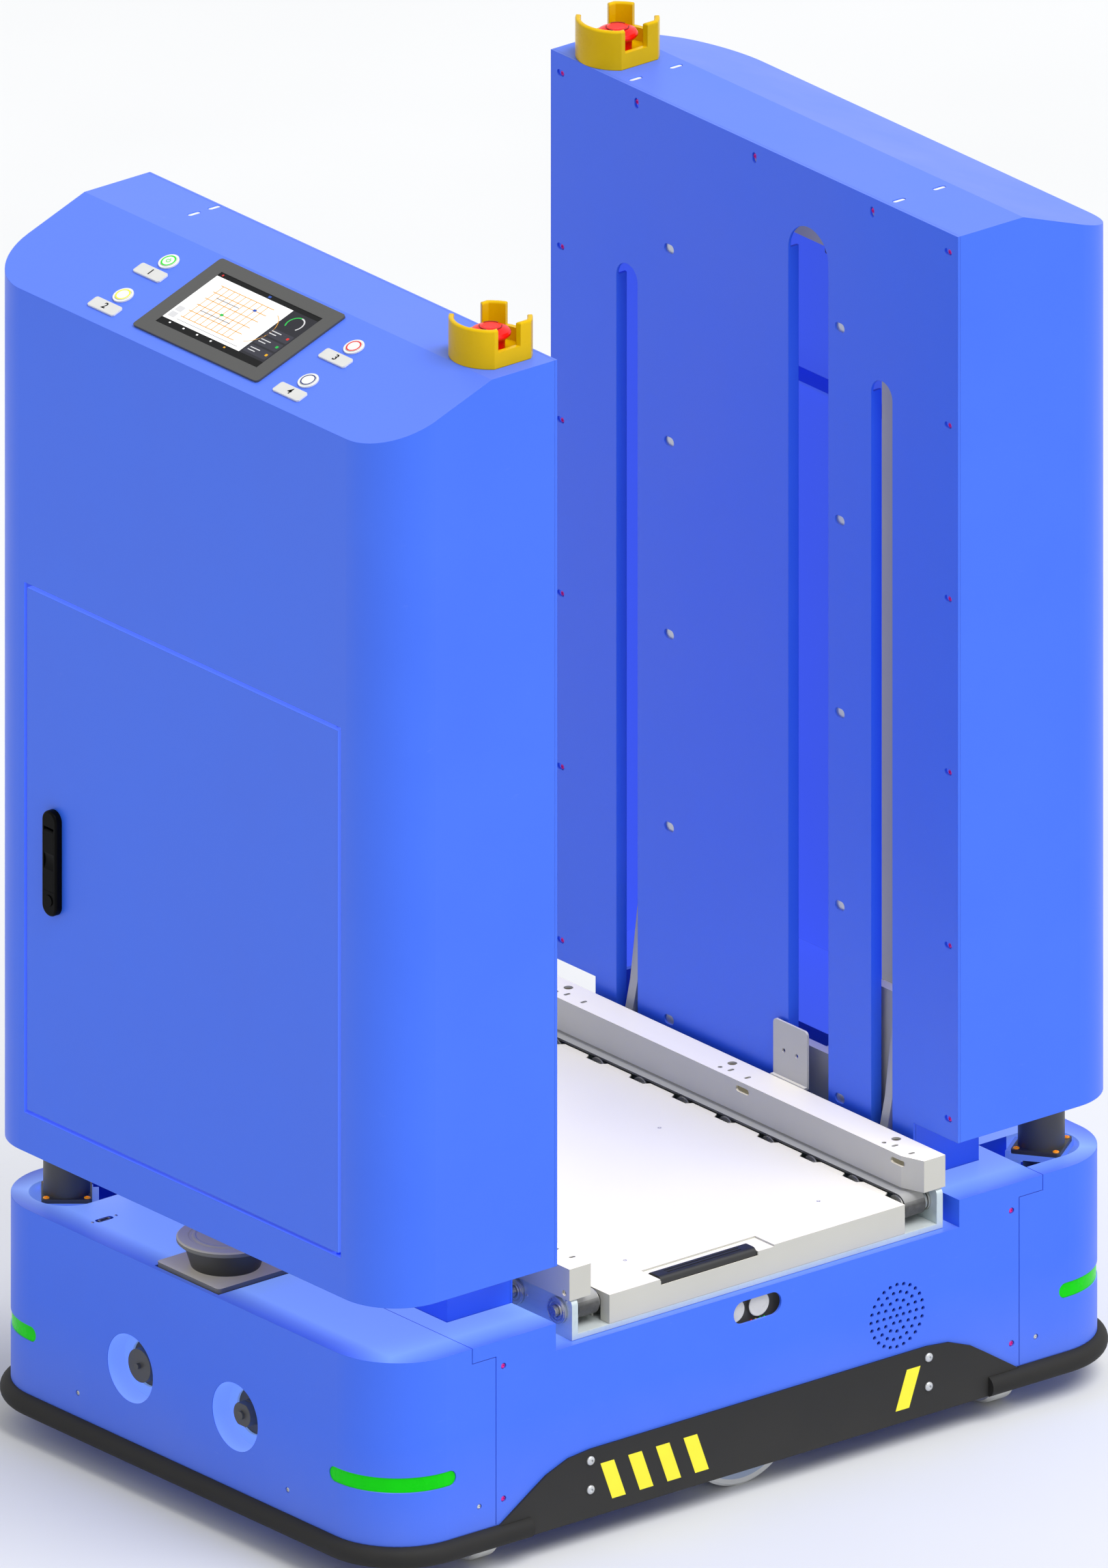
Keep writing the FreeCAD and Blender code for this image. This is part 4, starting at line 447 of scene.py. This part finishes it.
def axesOf(out, up=(0.0, 0.0, 1.0)):
    # rows: across, up, out
    out = np.array(out, float) / np.linalg.norm(out)
    across = np.cross(up, out)
    across = across / np.linalg.norm(across)
    return np.stack([across, np.cross(out, across), out])


def placed(grid, origin, axes):
    return grid @ axes + np.array(origin, float)


def addPiece(name, grids, body, finish, crease=38):
    # every grid is closed round its first index; its ends are poles that merge to a point
    points, quads, start = [], [], 0
    for grid in grids:
        rows, columns = grid.shape[:2]
        index = start + np.arange(rows * columns).reshape(rows, columns)
        nextRow = np.roll(index, -1, 0)
        corners = [index[:, :-1], nextRow[:, :-1], nextRow[:, 1:], index[:, 1:]]
        quads.append(np.stack(corners, -1).reshape(-1, 4))
        points.append(grid.reshape(-1, 3))
        start += rows * columns
    points, quads = np.concatenate(points), np.concatenate(quads)
    mesh = bpy.data.meshes.new(name)
    mesh.vertices.add(len(points))
    mesh.vertices.foreach_set("co", points.ravel())
    mesh.loops.add(quads.size)
    mesh.loops.foreach_set("vertex_index", quads.ravel())
    mesh.polygons.add(len(quads))
    mesh.polygons.foreach_set("loop_start", np.arange(0, quads.size, 4))
    mesh.update(calc_edges=True)
    work = bmesh.new()
    work.from_mesh(mesh)
    bmesh.ops.remove_doubles(work, verts=work.verts, dist=1e-7)
    bmesh.ops.dissolve_degenerate(work, edges=work.edges, dist=1e-8)
    bmesh.ops.recalc_face_normals(work, faces=work.faces)
    work.to_mesh(mesh)
    work.free()
    mesh.shade_smooth()
    mesh.set_sharp_from_angle(angle=np.radians(crease))
    piece = bpy.data.objects.new(name, mesh)
    scene.collection.objects.link(piece)
    mesh.materials.append(material[finish])
    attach(piece, body)


def mm(*values):
    return tuple(value / 1000 for value in values)


# screws

# millimetres: head radius, head height, half the socket across flats, its depth, shank length
screwKinds = {
    "panel": {"head": 2.9, "tall": 1.6, "socket": 1.4, "deep": 1.1, "shank": 5.0},
    "cover": {"head": 3.0, "tall": 1.6, "socket": 1.4, "deep": 1.1, "shank": 4.0},
    "skirt": {"head": 4.9, "tall": 2.7, "socket": 1.6, "deep": 1.5, "shank": 2.0},
    "end": {"head": 2.8, "tall": 1.8, "socket": 1.2, "deep": 1.0, "shank": 3.0},
    "scanner": {"head": 3.3, "tall": 1.5, "socket": 1.3, "deep": 0.9, "shank": 1.0},
    "deck": {"head": 2.6, "tall": 0.5, "socket": 1.0, "deep": 0.4, "shank": 1.0},
    "bearing": {"head": 1.7, "tall": 0.9, "socket": 0.8, "deep": 0.6, "shank": 1.0},
    "bolt": {"head": 5.5, "tall": 4.0, "socket": 2.5, "deep": 2.2, "shank": 1.0},
}


# shares of the head (shank, start of the dome) and of the socket (its mouth), angles up the dome
screwForm = {"shank": 0.5, "dome": 0.35, "mouth": 1.2, "angles": (0, 22, 45, 60), "turns": 24}
# turns the sockets of wall screws a little off the upright
screwUp = (0.1, 0.2, 0.97)


def screw(kind, origin, out):
    # button head with a hexagon socket, turned about the screw's line, head seat at the origin
    k, form = screwKinds[kind], screwForm
    head, tall, socket, shank = k["head"], k["tall"], k["socket"], k["head"] * form["shank"]
    rise = np.radians(form["angles"])
    dome = zip(head * np.cos(rise), tall * (form["dome"] + (1 - form["dome"]) * np.sin(rise)))
    profile = [(0, -k["shank"]), (shank, -k["shank"]), (shank, 0), (head, 0), *dome,
               (socket * form["mouth"], tall), (socket, tall, 1.0), (socket, tall - k["deep"], 1.0),
               (0, tall - k["deep"])]
    grid = revolved([(row[0] / 1000, row[1] / 1000, *row[2:]) for row in profile], form["turns"])
    return placed(grid, mm(*origin), axesOf(out, screwUp if abs(out[2]) < 0.9 else (1, 0, 0)))


panelScrews = {"sideY": 314.0, "firstZ": 1295.2, "pitch": 191.3, "count": 6,
               "topY": (-191.0, 0.0, 191.0), "topZ": 1301.7, "faceX": 264.3, "sunk": 2.2,
               "shift": -1.6}
p = panelScrews
spots = [(y, p["firstZ"] - i * p["pitch"]) for y in (-p["sideY"], p["sideY"])
         for i in range(p["count"])]
spots = [(y + p["shift"], z) for y, z in spots] + [(y, p["topZ"]) for y in p["topY"]]
grids = [screw("panel", (side * (p["faceX"] + p["sunk"]), y, z), (-side, 0, 0))
         for side in (-1, 1) for y, z in spots]
addPiece("panelScrews", grids, "base", "magentaAnodised")

coverScrews = {"x": 335.0, "z": (77.5, 224.0), "faceY": 330.0, "sunk": 2.2}
c = coverScrews
grids = [screw("cover", (x, side * (c["faceY"] - c["sunk"]), z), (0, side, 0))
         for side in (-1, 1) for x in (-c["x"], c["x"]) for z in c["z"]]
addPiece("coverScrews", grids, "base", "magentaAnodised")

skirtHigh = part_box("side_skirts")[1]
skirtScrews = {"x": 223.0, "z": (60.0, 92.0), "faceY": skirtHigh[1] * 1000}
s = skirtScrews
grids = [screw("skirt", (x, side * s["faceY"], z), (0, side, 0))
         for side in (-1, 1) for x in (-s["x"], s["x"]) for z in s["z"]]
addPiece("skirtScrews", grids, "base", "zincSteel")

endScrews = {"y": 170.0, "x": 367.0, "z": 76.8, "faceX": 490.0, "faceY": 330.0, "sunk": 2.0}
e = endScrews
grids = [screw("end", (side * (e["faceX"] - e["sunk"]), y, e["z"]), (side, 0, 0))
         for side in (-1, 1) for y in (-e["y"], e["y"])]
grids += [screw("end", (x, side * (e["faceY"] - e["sunk"]), e["z"]), (0, side, 0))
          for side in (-1, 1) for x in (-e["x"], e["x"])]
addPiece("endScrews", grids, "base", "zincSteel")

scannerScrews = {"x": 427.5, "y": 264.5, "offset": 21.0, "top": 255.0, "yaw": (141.0, -54.0)}
s = scannerScrews
grids = []
for side, yaw in zip((-1, 1), s["yaw"]):
    turn = np.radians(yaw)
    for a in (-1, 1):
        for b in (-1, 1):
            dx, dy = a * s["offset"], b * s["offset"]
            x = side * s["x"] + dx * np.cos(turn) - dy * np.sin(turn)
            y = -side * s["y"] + dx * np.sin(turn) + dy * np.cos(turn)
            grids.append(screw("scanner", (x, y, s["top"]), (0, 0, 1)))
addPiece("scannerScrews", grids, "base", "orangeCap")
print("screws placed")

# skirt stripes

stripes = {"low": 43.0, "high": 85.4, "width": 17.9, "leftTop": -209.8, "leftLean": 15.5,
           "pitch": 36.5, "count": 4, "rightTop": 194.4, "rightLean": -15.0, "film": 0.2}
s = stripes
grids = []
for side in (-1, 1):
    face = np.array([[1.0, 0, 0], [0, 0, 1.0], [0, side, 0]])
    tops = [(s["leftTop"] + i * s["pitch"], s["leftLean"]) for i in range(s["count"])]
    for top, lean in tops + [(s["rightTop"], s["rightLean"])]:
        foot = top + lean
        outline = [(top, s["high"]), (top + s["width"], s["high"]), (foot + s["width"], s["low"]),
                   (foot, s["low"])]
        grids.append(placed(slab(np.array(outline) / 1000, 0.0, s["film"] / 1000),
                            (0, side * skirtHigh[1], 0), face))
addPiece("skirtStripes", grids, "base", "signYellow")
print("stripes placed")

# operator panel: drawn screen, rings, symbol, numbers

slope = {"fold": 350.7, "top": 1316.3, "drop": 50.4, "end": 490.0, "screenDown": 68.0, "glass": 2.0,
         "screenW": 163.6, "screenH": 92.4}
tilt = np.arctan2(slope["drop"], slope["end"] - slope["fold"])
panelAxes = np.array([[0, -1, 0], [np.cos(tilt), 0, np.sin(tilt)],
                      [-np.sin(tilt), 0, np.cos(tilt)]])


def onSlope(y, down, lift):
    # point on the slope: y across, distance down from the fold, height above the sheet
    return (-(slope["fold"] + down * np.cos(tilt)) / 1000 - lift / 1000 * np.sin(tilt), y / 1000,
            (slope["top"] - down * np.sin(tilt) + lift * np.cos(tilt)) / 1000)


screenAt = onSlope(0, slope["screenDown"], slope["glass"])
w, h = slope["screenW"], slope["screenH"]
film = {"step": 0.05, "thick": 0.04, "arcPoints": 40}


def drawn(shapes, level):
    # flat shapes in millimetres on the glass, each layer one step above the one before
    high = level * film["step"] / 1000
    low = high - film["thick"] / 1000
    grids = []
    for shape in shapes:
        if shape[0] == "bar":
            x, y, wide, tall, corner = np.array(shape[1:]) / 1000
            grids.append(bar(wide, tall, low, high, x, y, corner))
        elif shape[0] == "line":
            grids.append(strip(np.array(shape[2]) / 1000, shape[1] / 1000, low, high))
        else:
            x, y, inner, outer, start, end = shape[1:]
            turn = np.radians(np.linspace(start, end, film["arcPoints"]))
            middle, thick = (inner + outer) / 2, outer - inner
            path = np.c_[x + middle * np.cos(turn), y + middle * np.sin(turn)]
            grids.append(strip(path / 1000, thick / 1000, low, high))
    return [placed(grid, screenAt, panelAxes) for grid in grids]


# millimetres: right column, bottom bar and top bar of the drawn screen, and what stands in them
column, foot, head = 40.0, 9.5, 6.0
left, right, low, high = -w / 2, w / 2, foot - h / 2, h / 2 - head
mapW, mapH = w - column, high - low
middleX = right - column / 2
lanes = {"x": 22.0, "pitchX": 9.0, "countX": 9, "end": 10.0, "pitchY": 11.4, "countY": 6,
         "start": 18.0, "stop": 20.0}
cards = {"y": 9.5, "pitch": 15.0, "count": 3, "wide": 35.0, "tall": 12.5, "corner": 1.2}
rows = {"upper": (-7.0, 12.0, 15.0, 1.2), "lower": (-9.0, 8.0, 11.0, 1.2)}
dial = {"down": 15.5, "inner": 9.6, "outer": 11.2}
icons = {"x": 16.0, "pitch": 22.0, "count": 5, "up": 1.4, "size": (2.6, 2.0, 0.5), "last": 104.0}
dot = {"x": 7.0, "y": 10.0, "size": (3.4, 3.4, 0.8)}
iconY = -h / 2 + foot / 2 + icons["up"]
dialAt = (middleX, high - dial["down"], dial["inner"], dial["outer"])
laneStop = left + mapW - lanes["stop"]
lanesX = [left + lanes["x"] + lanes["pitchX"] * i for i in range(lanes["countX"])]
lanesY = [low + lanes["end"] + lanes["pitchY"] * i for i in range(lanes["countY"])]
cardsY = [low + cards["pitch"] * i for i in range(cards["count"])]
dots = [("bar", right - dot["x"], y + dot["y"], *dot["size"]) for y in cardsY]
layers = {
    "displayBlack": (1, [("bar", 0, 0, w, h, 0)]),
    "displayWhite": (2, [("bar", left + mapW / 2, (low + high) / 2, mapW, mapH, 0)]
                     + [("bar", left + icons["x"] + icons["pitch"] * i, iconY, *icons["size"])
                        for i in range(icons["count"])]),
    "displayPanel": (2, [("bar", middleX, (low + high) / 2, column, mapH, 0)]),
    "displayCard": (3, [("bar", middleX, y + cards["y"], cards["wide"], cards["tall"],
                         cards["corner"])
                        for y in cardsY]),
    "displayGrey": (4, [("arc", *dialAt, -40, 220)]
                    + [("bar", middleX + x, y + up, wide, tall, 0)
                       for x, up, wide, tall in rows.values() for y in cardsY]
                    + [("bar", left + 8, low + y, 10, 8, 0.8) for y in (8, 18)]),
    "displayOrange": (3, [("line", 1.0, [(x, low + lanes["end"]), (x, high - lanes["end"])])
                          for x in lanesX]
                      + [("line", 1.0, [(left + lanes["start"], y), (laneStop, y)]) for y in lanesY]
                      + [("arc", laneStop, low + mapH / 2, 26, 26.8, -66, 66)]),
    "displayLine": (4, [("line", 0.5, [(left + 18, low + 4.5), (left + mapW - 8, low + 4.5)]),
                        ("line", 0.9, [(left + 30, low + 27), (left + 78, low + 27)]),
                        ("line", 0.9, [(left + 30, low + 50), (left + 66, low + 50)])]),
    "displayGreen": (5, [("arc", *dialAt, 90, 220), dots[1],
                         ("bar", left + 58, low + 33, 4.6, 3.2, 0.9)]),
    "displayRed": (5, [dots[2], ("bar", left + 6, h / 2 - head / 2, 2.4, 2.4, 0.6)]),
    "displayBlue": (5, [("bar", left + 85, low + 56, 4.6, 3.2, 0.9),
                        ("bar", 0, h / 2 - head / 2, 4, 3, 0.5)]),
    "displayAmber": (5, [dots[0],
                         ("bar", left + icons["last"], iconY, *icons["size"])]),
}
for finish, (level, shapes) in layers.items():
    addPiece("screen" + finish.removeprefix("display"), drawn(shapes, level), "base", finish)

buttons = {"green": (150, 37), "yellow": (150, 101), "red": (-150, 37), "blue": (-150, 101)}
ringInner = {"green": 6.7, "yellow": 6.8, "red": 6.8, "blue": 7.0}
ring = {"outer": 8.3, "foot": -0.3, "shoulder": 0.12, "top": 0.25, "round": 0.2, "lift": 2.6}
symbol = {"radius": 2.4, "from": 125, "to": 415, "stem": (0.6, 3.8), "stroke": 0.7, "thick": 0.2}
for name, (y, down) in buttons.items():
    # ring let into the top of the cap, round edges
    at = onSlope(y, down, ring["lift"])
    inner, outer = ringInner[name], ring["outer"]
    profile = [(inner, ring["foot"]), (inner, ring["shoulder"]),
               (inner + ring["round"], ring["top"]), (outer - ring["round"], ring["top"]),
               (outer, ring["shoulder"]), (outer, ring["foot"]), (inner, ring["foot"])]
    grids = [placed(revolved(np.array(profile) / 1000, 48), at, panelAxes)]
    if name == "green":
        turn = np.radians(np.linspace(symbol["from"], symbol["to"], 30))
        arc = np.c_[np.cos(turn), np.sin(turn)] * symbol["radius"]
        for path in (arc, [(0, end) for end in symbol["stem"]]):
            flat = strip(np.array(path) / 1000, symbol["stroke"] / 1000, -symbol["thick"] / 1000,
                         symbol["thick"] / 1000)
            grids.append(placed(flat, at, panelAxes))
    addPiece(name + "Ring", grids, name + "_button", "ring" + name.capitalize())

labels = {"size": 12.0, "ink": 0.1, "bold": 0.25, "down": 23.0, "shift": 3.0, "top": 2.2,
          "face": (41.4, 14.4, 0.0, 0.16), "corner": 1.6, "sunk": 0.12}
faces = []
for number, (y, down) in zip("1234", buttons.values()):
    # plain numbers, from the built-in font, as thin raised ink
    curve = bpy.data.curves.new("number" + number, "FONT")
    curve.body, curve.size, curve.extrude = number, labels["size"] / 1000, labels["ink"] / 1000
    curve.align_x, curve.align_y, curve.offset = "CENTER", "CENTER", labels["bold"] / 1000
    holder = bpy.data.objects.new("holder", curve)
    scene.collection.objects.link(holder)
    bpy.context.view_layer.update()
    graph = bpy.context.evaluated_depsgraph_get()
    mesh = bpy.data.meshes.new_from_object(holder.evaluated_get(graph))
    points = np.empty(len(mesh.vertices) * 3)
    mesh.vertices.foreach_get("co", points)
    across, down = y + labels["shift"], down + labels["down"]
    at = onSlope(across, down, labels["top"])
    mesh.vertices.foreach_set("co", placed(points.reshape(-1, 3), at, panelAxes).ravel())
    mesh.update()
    bpy.data.objects.remove(holder)
    mesh.materials.clear()
    mesh.materials.append(material["mouldedBlack"])
    piece = bpy.data.objects.new("labelNumber" + number, mesh)
    scene.collection.objects.link(piece)
    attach(piece, "base")
    face = bar(*mm(*labels["face"]), corner=labels["corner"] / 1000)
    faces.append(placed(face, onSlope(across, down, labels["top"] - labels["sunk"]), panelAxes))
addPiece("labelFaces", faces, "base", "labelPlate")
print("operator panel drawn")

# emergency stops

stopHead = {"x": 307.5, "y": 275.0, "top": 1316.3, "crown": 31.8, "arc": 11.6,
            "starts": (10, 130, 250), "span": 78, "stroke": 1.1, "thick": 0.6, "sunk": 0.5}
h = stopHead
for side, name in ((-1, "left"), (1, "right")):
    at = mm(side * h["x"], side * h["y"], h["top"] + h["crown"] - h["sunk"])
    grids = []
    for start in h["starts"]:
        # arrow's arc let into the crown
        turn = np.radians(np.linspace(start, start + h["span"], 16))
        path = np.c_[np.cos(turn), np.sin(turn)] * h["arc"] / 1000
        grids.append(placed(strip(path, h["stroke"] / 1000, 0.0, h["thick"] / 1000), at, np.eye(3)))
    addPiece(name + "StopArcs", grids, name + "_estop_head", "markRed")
print("emergency stops finished")

# conveyor bearings

bearings = {"y": [-299.4, 299.4] + [-299.4 + 69.1 * i for i in range(1, 9)], "z": 251.6,
            "left": -237.5, "right": 251.6, "flange": 3.0, "boltRing": 17.8, "endTurn": 135,
            "innerTurn": 0}
b = bearings
# radius and height of inner ring, seal and outer ring
rings = [(7.0, -0.2), (7.0, 0.9), (8.6, 0.9), (8.9, 0.3), (10.2, 0.3), (10.5, 0.8), (12.6, 0.8),
         (12.9, 0.3), (13.7, 0.3), (14.0, 0.7), (14.45, 0.4), (14.45, -0.2), (7.0, -0.2)]
grids, bolts = [], []
for index, y in enumerate(b["y"]):
    # the first two carry the end rollers
    angle = np.radians(b["endTurn"] if index < 2 else b["innerTurn"])
    dy, dz = b["boltRing"] * np.cos(angle), b["boltRing"] * np.sin(angle)
    for face, way in ((b["left"], -1), (b["right"], 1)):
        grids.append(placed(revolved(np.array(rings) / 1000, 36),
                            mm(face + way * b["flange"], y, b["z"]), axesOf((way, 0, 0))))
        bolts += [screw("bearing", (face, y + side * dy, b["z"] + side * dz), (way, 0, 0))
                  for side in (-1, 1)]
addPiece("bearingSeals", grids, "deck", "turnedSteel")
addPiece("bearingScrews", bolts, "deck", "zincSteel")
print("bearings finished")

# deck and rails

deckScrews = {"x": (-116.0, 139.2), "y": (-257.5, 0.0, 257.5), "seat": 261.65}
d = deckScrews
grids = [screw("deck", (x, y, d["seat"]), (0, 0, 1)) for x in d["x"] for y in d["y"]]
addPiece("deckScrews", grids, "deck", "zincSteel")

# lips of the deck sheet that reach towards the belts between the rollers
deckLips = {"slot": 15.5, "tip": 11.0, "left": (-194.3, -188.0), "right": (208.4, 201.5),
            "z": (260.2, 261.95), "edge": 0.1}
d = deckLips
rollers = sorted(bearings["y"])
grids = []
for near, far in zip(rollers, rollers[1:]):
    for outer, inner in (d["left"], d["right"]):
        outline = [(outer, near + d["slot"]), (inner, near + d["tip"]), (inner, far - d["tip"]),
                   (outer, far - d["slot"])]
        grids.append(slab(np.array(outline) / 1000, *mm(*d["z"], d["edge"])))
addPiece("deckLips", grids, "deck", "powderCoatWhite")

railScrews = {"y": 312.5, "z": 275.0, "faces": ((-240.9, 1), (255.0, -1)), "sunk": 3.6}
r = railScrews
grids = [screw("end", (x + way * r["sunk"], side * r["y"], r["z"]), (-way, 0, 0))
         for x, way in r["faces"] for side in (-1, 1)]
addPiece("railScrews", grids, "deck", "zincSteel")

cageNuts = {"y": 138.3, "topZ": 1156.4, "pitch": 212.6, "count": 5, "x": 264.3,
            "size": (22.0, 16.0, -4.4, -2.2), "corner": 2.0}
c = cageNuts
nut = bar(*mm(*c["size"]), corner=c["corner"] / 1000)
grids = [placed(nut, mm(side * c["x"], y, c["topZ"] - i * c["pitch"]), axesOf((-side, 0, 0)))
         for side in (-1, 1) for y in (-c["y"], c["y"]) for i in range(c["count"])]
addPiece("cageNuts", grids, "base", "zincSteel")

slotPlugs = {"x": (-274.0, -301.0, 281.4, 334.5), "y": 213.5, "top": 1316.3,
             "size": (15.2, 5.2, -3.0, -0.7), "corner": 2.5, "edge": 0.3}
p = slotPlugs
plug = bar(*mm(*p["size"]), corner=p["corner"] / 1000, edge=p["edge"] / 1000)
grids = [placed(plug, mm(x, side * p["y"], p["top"]), np.eye(3)) for x in p["x"]
         for side in (-1, 1)]
addPiece("slotPlugs", grids, "base", "mouldedWhite")
print("deck, rails and towers dressed")

# optics behind the side window

optics = {"y": -322.8, "z": 203.0, "x": (7.5, -25.0), "r": 13.3, "lampsY": -319.8, "lampsZ": 185.5,
          "lamps": ((-18.3, "signYellow"), (-0.2, "ringRed"), (5.6, "signYellow"),
                    (11.2, "ringGreen"), (16.9, "ringGreen"))}
o = optics
front = axesOf((0, -1, 0))
radius = o["r"]
# radius and height of the lens with its rim, and of a lamp's dome
lens = [(0, -0.2), (radius - 0.6, -0.2), (radius - 0.1, 0.0), (radius - 0.1, 0.4),
        (radius - 0.9, 0.9), (radius - 1.2, 0.9), (radius - 1.5, 0.7), (radius * 0.6, 0.9),
        (0, 1.0)]
dome = [(0, -0.4), (1.3, -0.4), (1.3, 0.4), (1.0, 0.9), (0.5, 1.2), (0, 1.3)]
grids = [placed(revolved(np.array(lens) / 1000, 48), mm(x, o["y"], o["z"]), front) for x in o["x"]]
addPiece("windowLenses", grids, "base", "opticGlass")
for index, (x, finish) in enumerate(o["lamps"]):
    grid = placed(revolved(np.array(dome) / 1000, 16), mm(x, o["lampsY"], o["lampsZ"]), front)
    addPiece("windowLamp%d" % index, [grid], "base", finish)
print("window optics finished")

# service socket

socket = {"x": -445.0, "y": 182.0, "top": 253.4, "screws": 15.5, "shell": (13.6, 4.8),
          "shellZ": (-4.0, 0.2), "corner": 0.6, "mouth": 0.9, "tongue": (9.8, 1.2, -9.0, -1.2),
          "round": 0.3}
s = socket
at = mm(s["x"], s["y"], s["top"])
outline = bar(*mm(*s["shell"]), 0.0, 0.0, corner=s["corner"] / 1000)[:, 2, :2]
low, high = mm(*s["shellZ"])
walls = [(1.0, low), (1.0, high), (s["mouth"], high), (s["mouth"], low), (1.0, low)]
shell = np.stack([np.c_[outline * share, np.full(len(outline), level)] for share, level in walls],
                 1)
addPiece("socketShell", [placed(shell, at, np.eye(3))], "base", "zincSteel")
tongue = bar(*mm(*s["tongue"]), corner=s["round"] / 1000)
addPiece("socketTongue", [placed(tongue, at, np.eye(3))], "base", "mouldedWhite")
grids = [screw("bearing", (s["x"] + side * s["screws"], s["y"], s["top"]), (0, 0, 1))
         for side in (-1, 1)]
addPiece("socketScrews", grids, "base", "zincSteel")

# end scanner ring

scannerRing = {"x": -433.0, "z": 290.1, "inner": 30.5, "outer": 31.7, "low": -0.3, "high": 0.15}
r = scannerRing
profile = [(r["inner"], r["low"]), (r["inner"], r["high"]), (r["outer"], r["high"]),
           (r["outer"], r["low"]), (r["inner"], r["low"])]
grid = placed(revolved(np.array(profile) / 1000, 64), mm(r["x"], 0, r["z"]), np.eye(3))
addPiece("scannerRing", [grid], "base", "opticGlass")
print("scanner and socket finished")

# wheels

wheelBolts = {"ring": 34.0, "count": 5, "face": 306.0, "z": 75.6}
for side, name in ((-1, "right"), (1, "left")):
    turn = np.arange(wheelBolts["count"]) * 2 * np.pi / wheelBolts["count"]
    grids = [screw("bolt", (wheelBolts["ring"] * np.cos(a), side * wheelBolts["face"],
                            wheelBolts["z"] + wheelBolts["ring"] * np.sin(a)), (0, side, 0))
             for a in turn]
    addPiece(name + "WheelBolts", grids, name + "_drive_wheel", "zincSteel")
print("wheels finished")

# floor, light and camera

stage = {"half": 9, "rough": 0.7, "sheen": 0.2, "patches": 2.0, "tones": ("#DCDDDE", "#E2E3E4")}
floorMesh = bpy.data.meshes.new("floor")
corners = [(x * stage["half"], y * stage["half"], 0) for x, y in ((-1, -1), (1, -1), (1, 1),
                                                                  (-1, 1))]
floorMesh.from_pydata(corners, [], [(0, 1, 2, 3)])
floor = bpy.data.objects.new("floor", floorMesh)
scene.collection.objects.link(floor)
floorPaint = bpy.data.materials.new("studioFloor")
floorPaint.use_nodes = True
tree = floorPaint.node_tree
shader = tree.nodes["Principled BSDF"]
shader.inputs["Roughness"].default_value = stage["rough"]
shader.inputs["Specular IOR Level"].default_value = stage["sheen"]
place = addNode(tree, "TexCoord").outputs["Object"]
speck = addNode(tree, "TexNoise", {"Scale": stage["patches"], "Detail": 2.0},
                {"Vector": place}).outputs["Fac"]
dark, pale = (linear(tone) for tone in stage["tones"])
tone = addNode(tree, "Mix", {"data_type": "RGBA", 6: dark, 7: pale}, {0: speck}).outputs[2]
tree.links.new(tone, shader.inputs["Base Color"])
floorMesh.materials.append(floorPaint)

key = {"towards": (0.10, -0.50, 0.86), "power": 2.3, "soft": 40}
lamp = bpy.data.lights.new("key", "SUN")
lamp.energy, lamp.angle = key["power"], np.radians(key["soft"])
holder = bpy.data.objects.new("key", lamp)
holder.rotation_euler = Vector(key["towards"]).to_track_quat("Z", "Y").to_euler()
scene.collection.objects.link(holder)

# even white light from all round, while lens, gloss and glass see a pale grey sky
sky = {"light": ((1.0, 1.0, 1.0, 1.0), 0.68), "shown": ((0.93, 0.94, 0.95, 1.0), 1.0)}
world = bpy.data.worlds.new("studio")
scene.world = world
world.use_nodes = True
tree = world.node_tree
tree.nodes.clear()
light, shown = (addNode(tree, "Background", {"Color": colour, "Strength": strength}).outputs[0]
                for colour, strength in sky.values())
path = addNode(tree, "LightPath")
seen = reckon(tree, "Math", "MAXIMUM", path.outputs["Is Camera Ray"], path.outputs["Is Glossy Ray"])
seen = reckon(tree, "Math", "MAXIMUM", seen, path.outputs["Is Transmission Ray"])
both = addNode(tree, "MixShader", None, {0: seen, 1: light, 2: shown}).outputs[0]
addNode(tree, "OutputWorld", None, {"Surface": both})

view = {"target": (0.0, 0.0, 0.6769), "ahead": (0.6312, 0.7756), "elevation": 22.05,
        "distance": 6.0, "frameHeight": 1.6035759, "far": 60.0}
fall = np.radians(view["elevation"])
ahead = Vector((*(part * np.cos(fall) for part in view["ahead"]), -np.sin(fall)))
camera = bpy.data.cameras.new("camera")
camera.type, camera.sensor_fit, camera.ortho_scale = "ORTHO", "VERTICAL", view["frameHeight"]
camera.clip_end = view["far"]
cameraObject = bpy.data.objects.new("camera", camera)
cameraObject.location = Vector(view["target"]) - ahead * view["distance"]
cameraObject.rotation_euler = ahead.to_track_quat("-Z", "Y").to_euler()
scene.collection.objects.link(cameraObject)
scene.camera = cameraObject
scene.view_settings.view_transform = "Standard"
print("stage set")
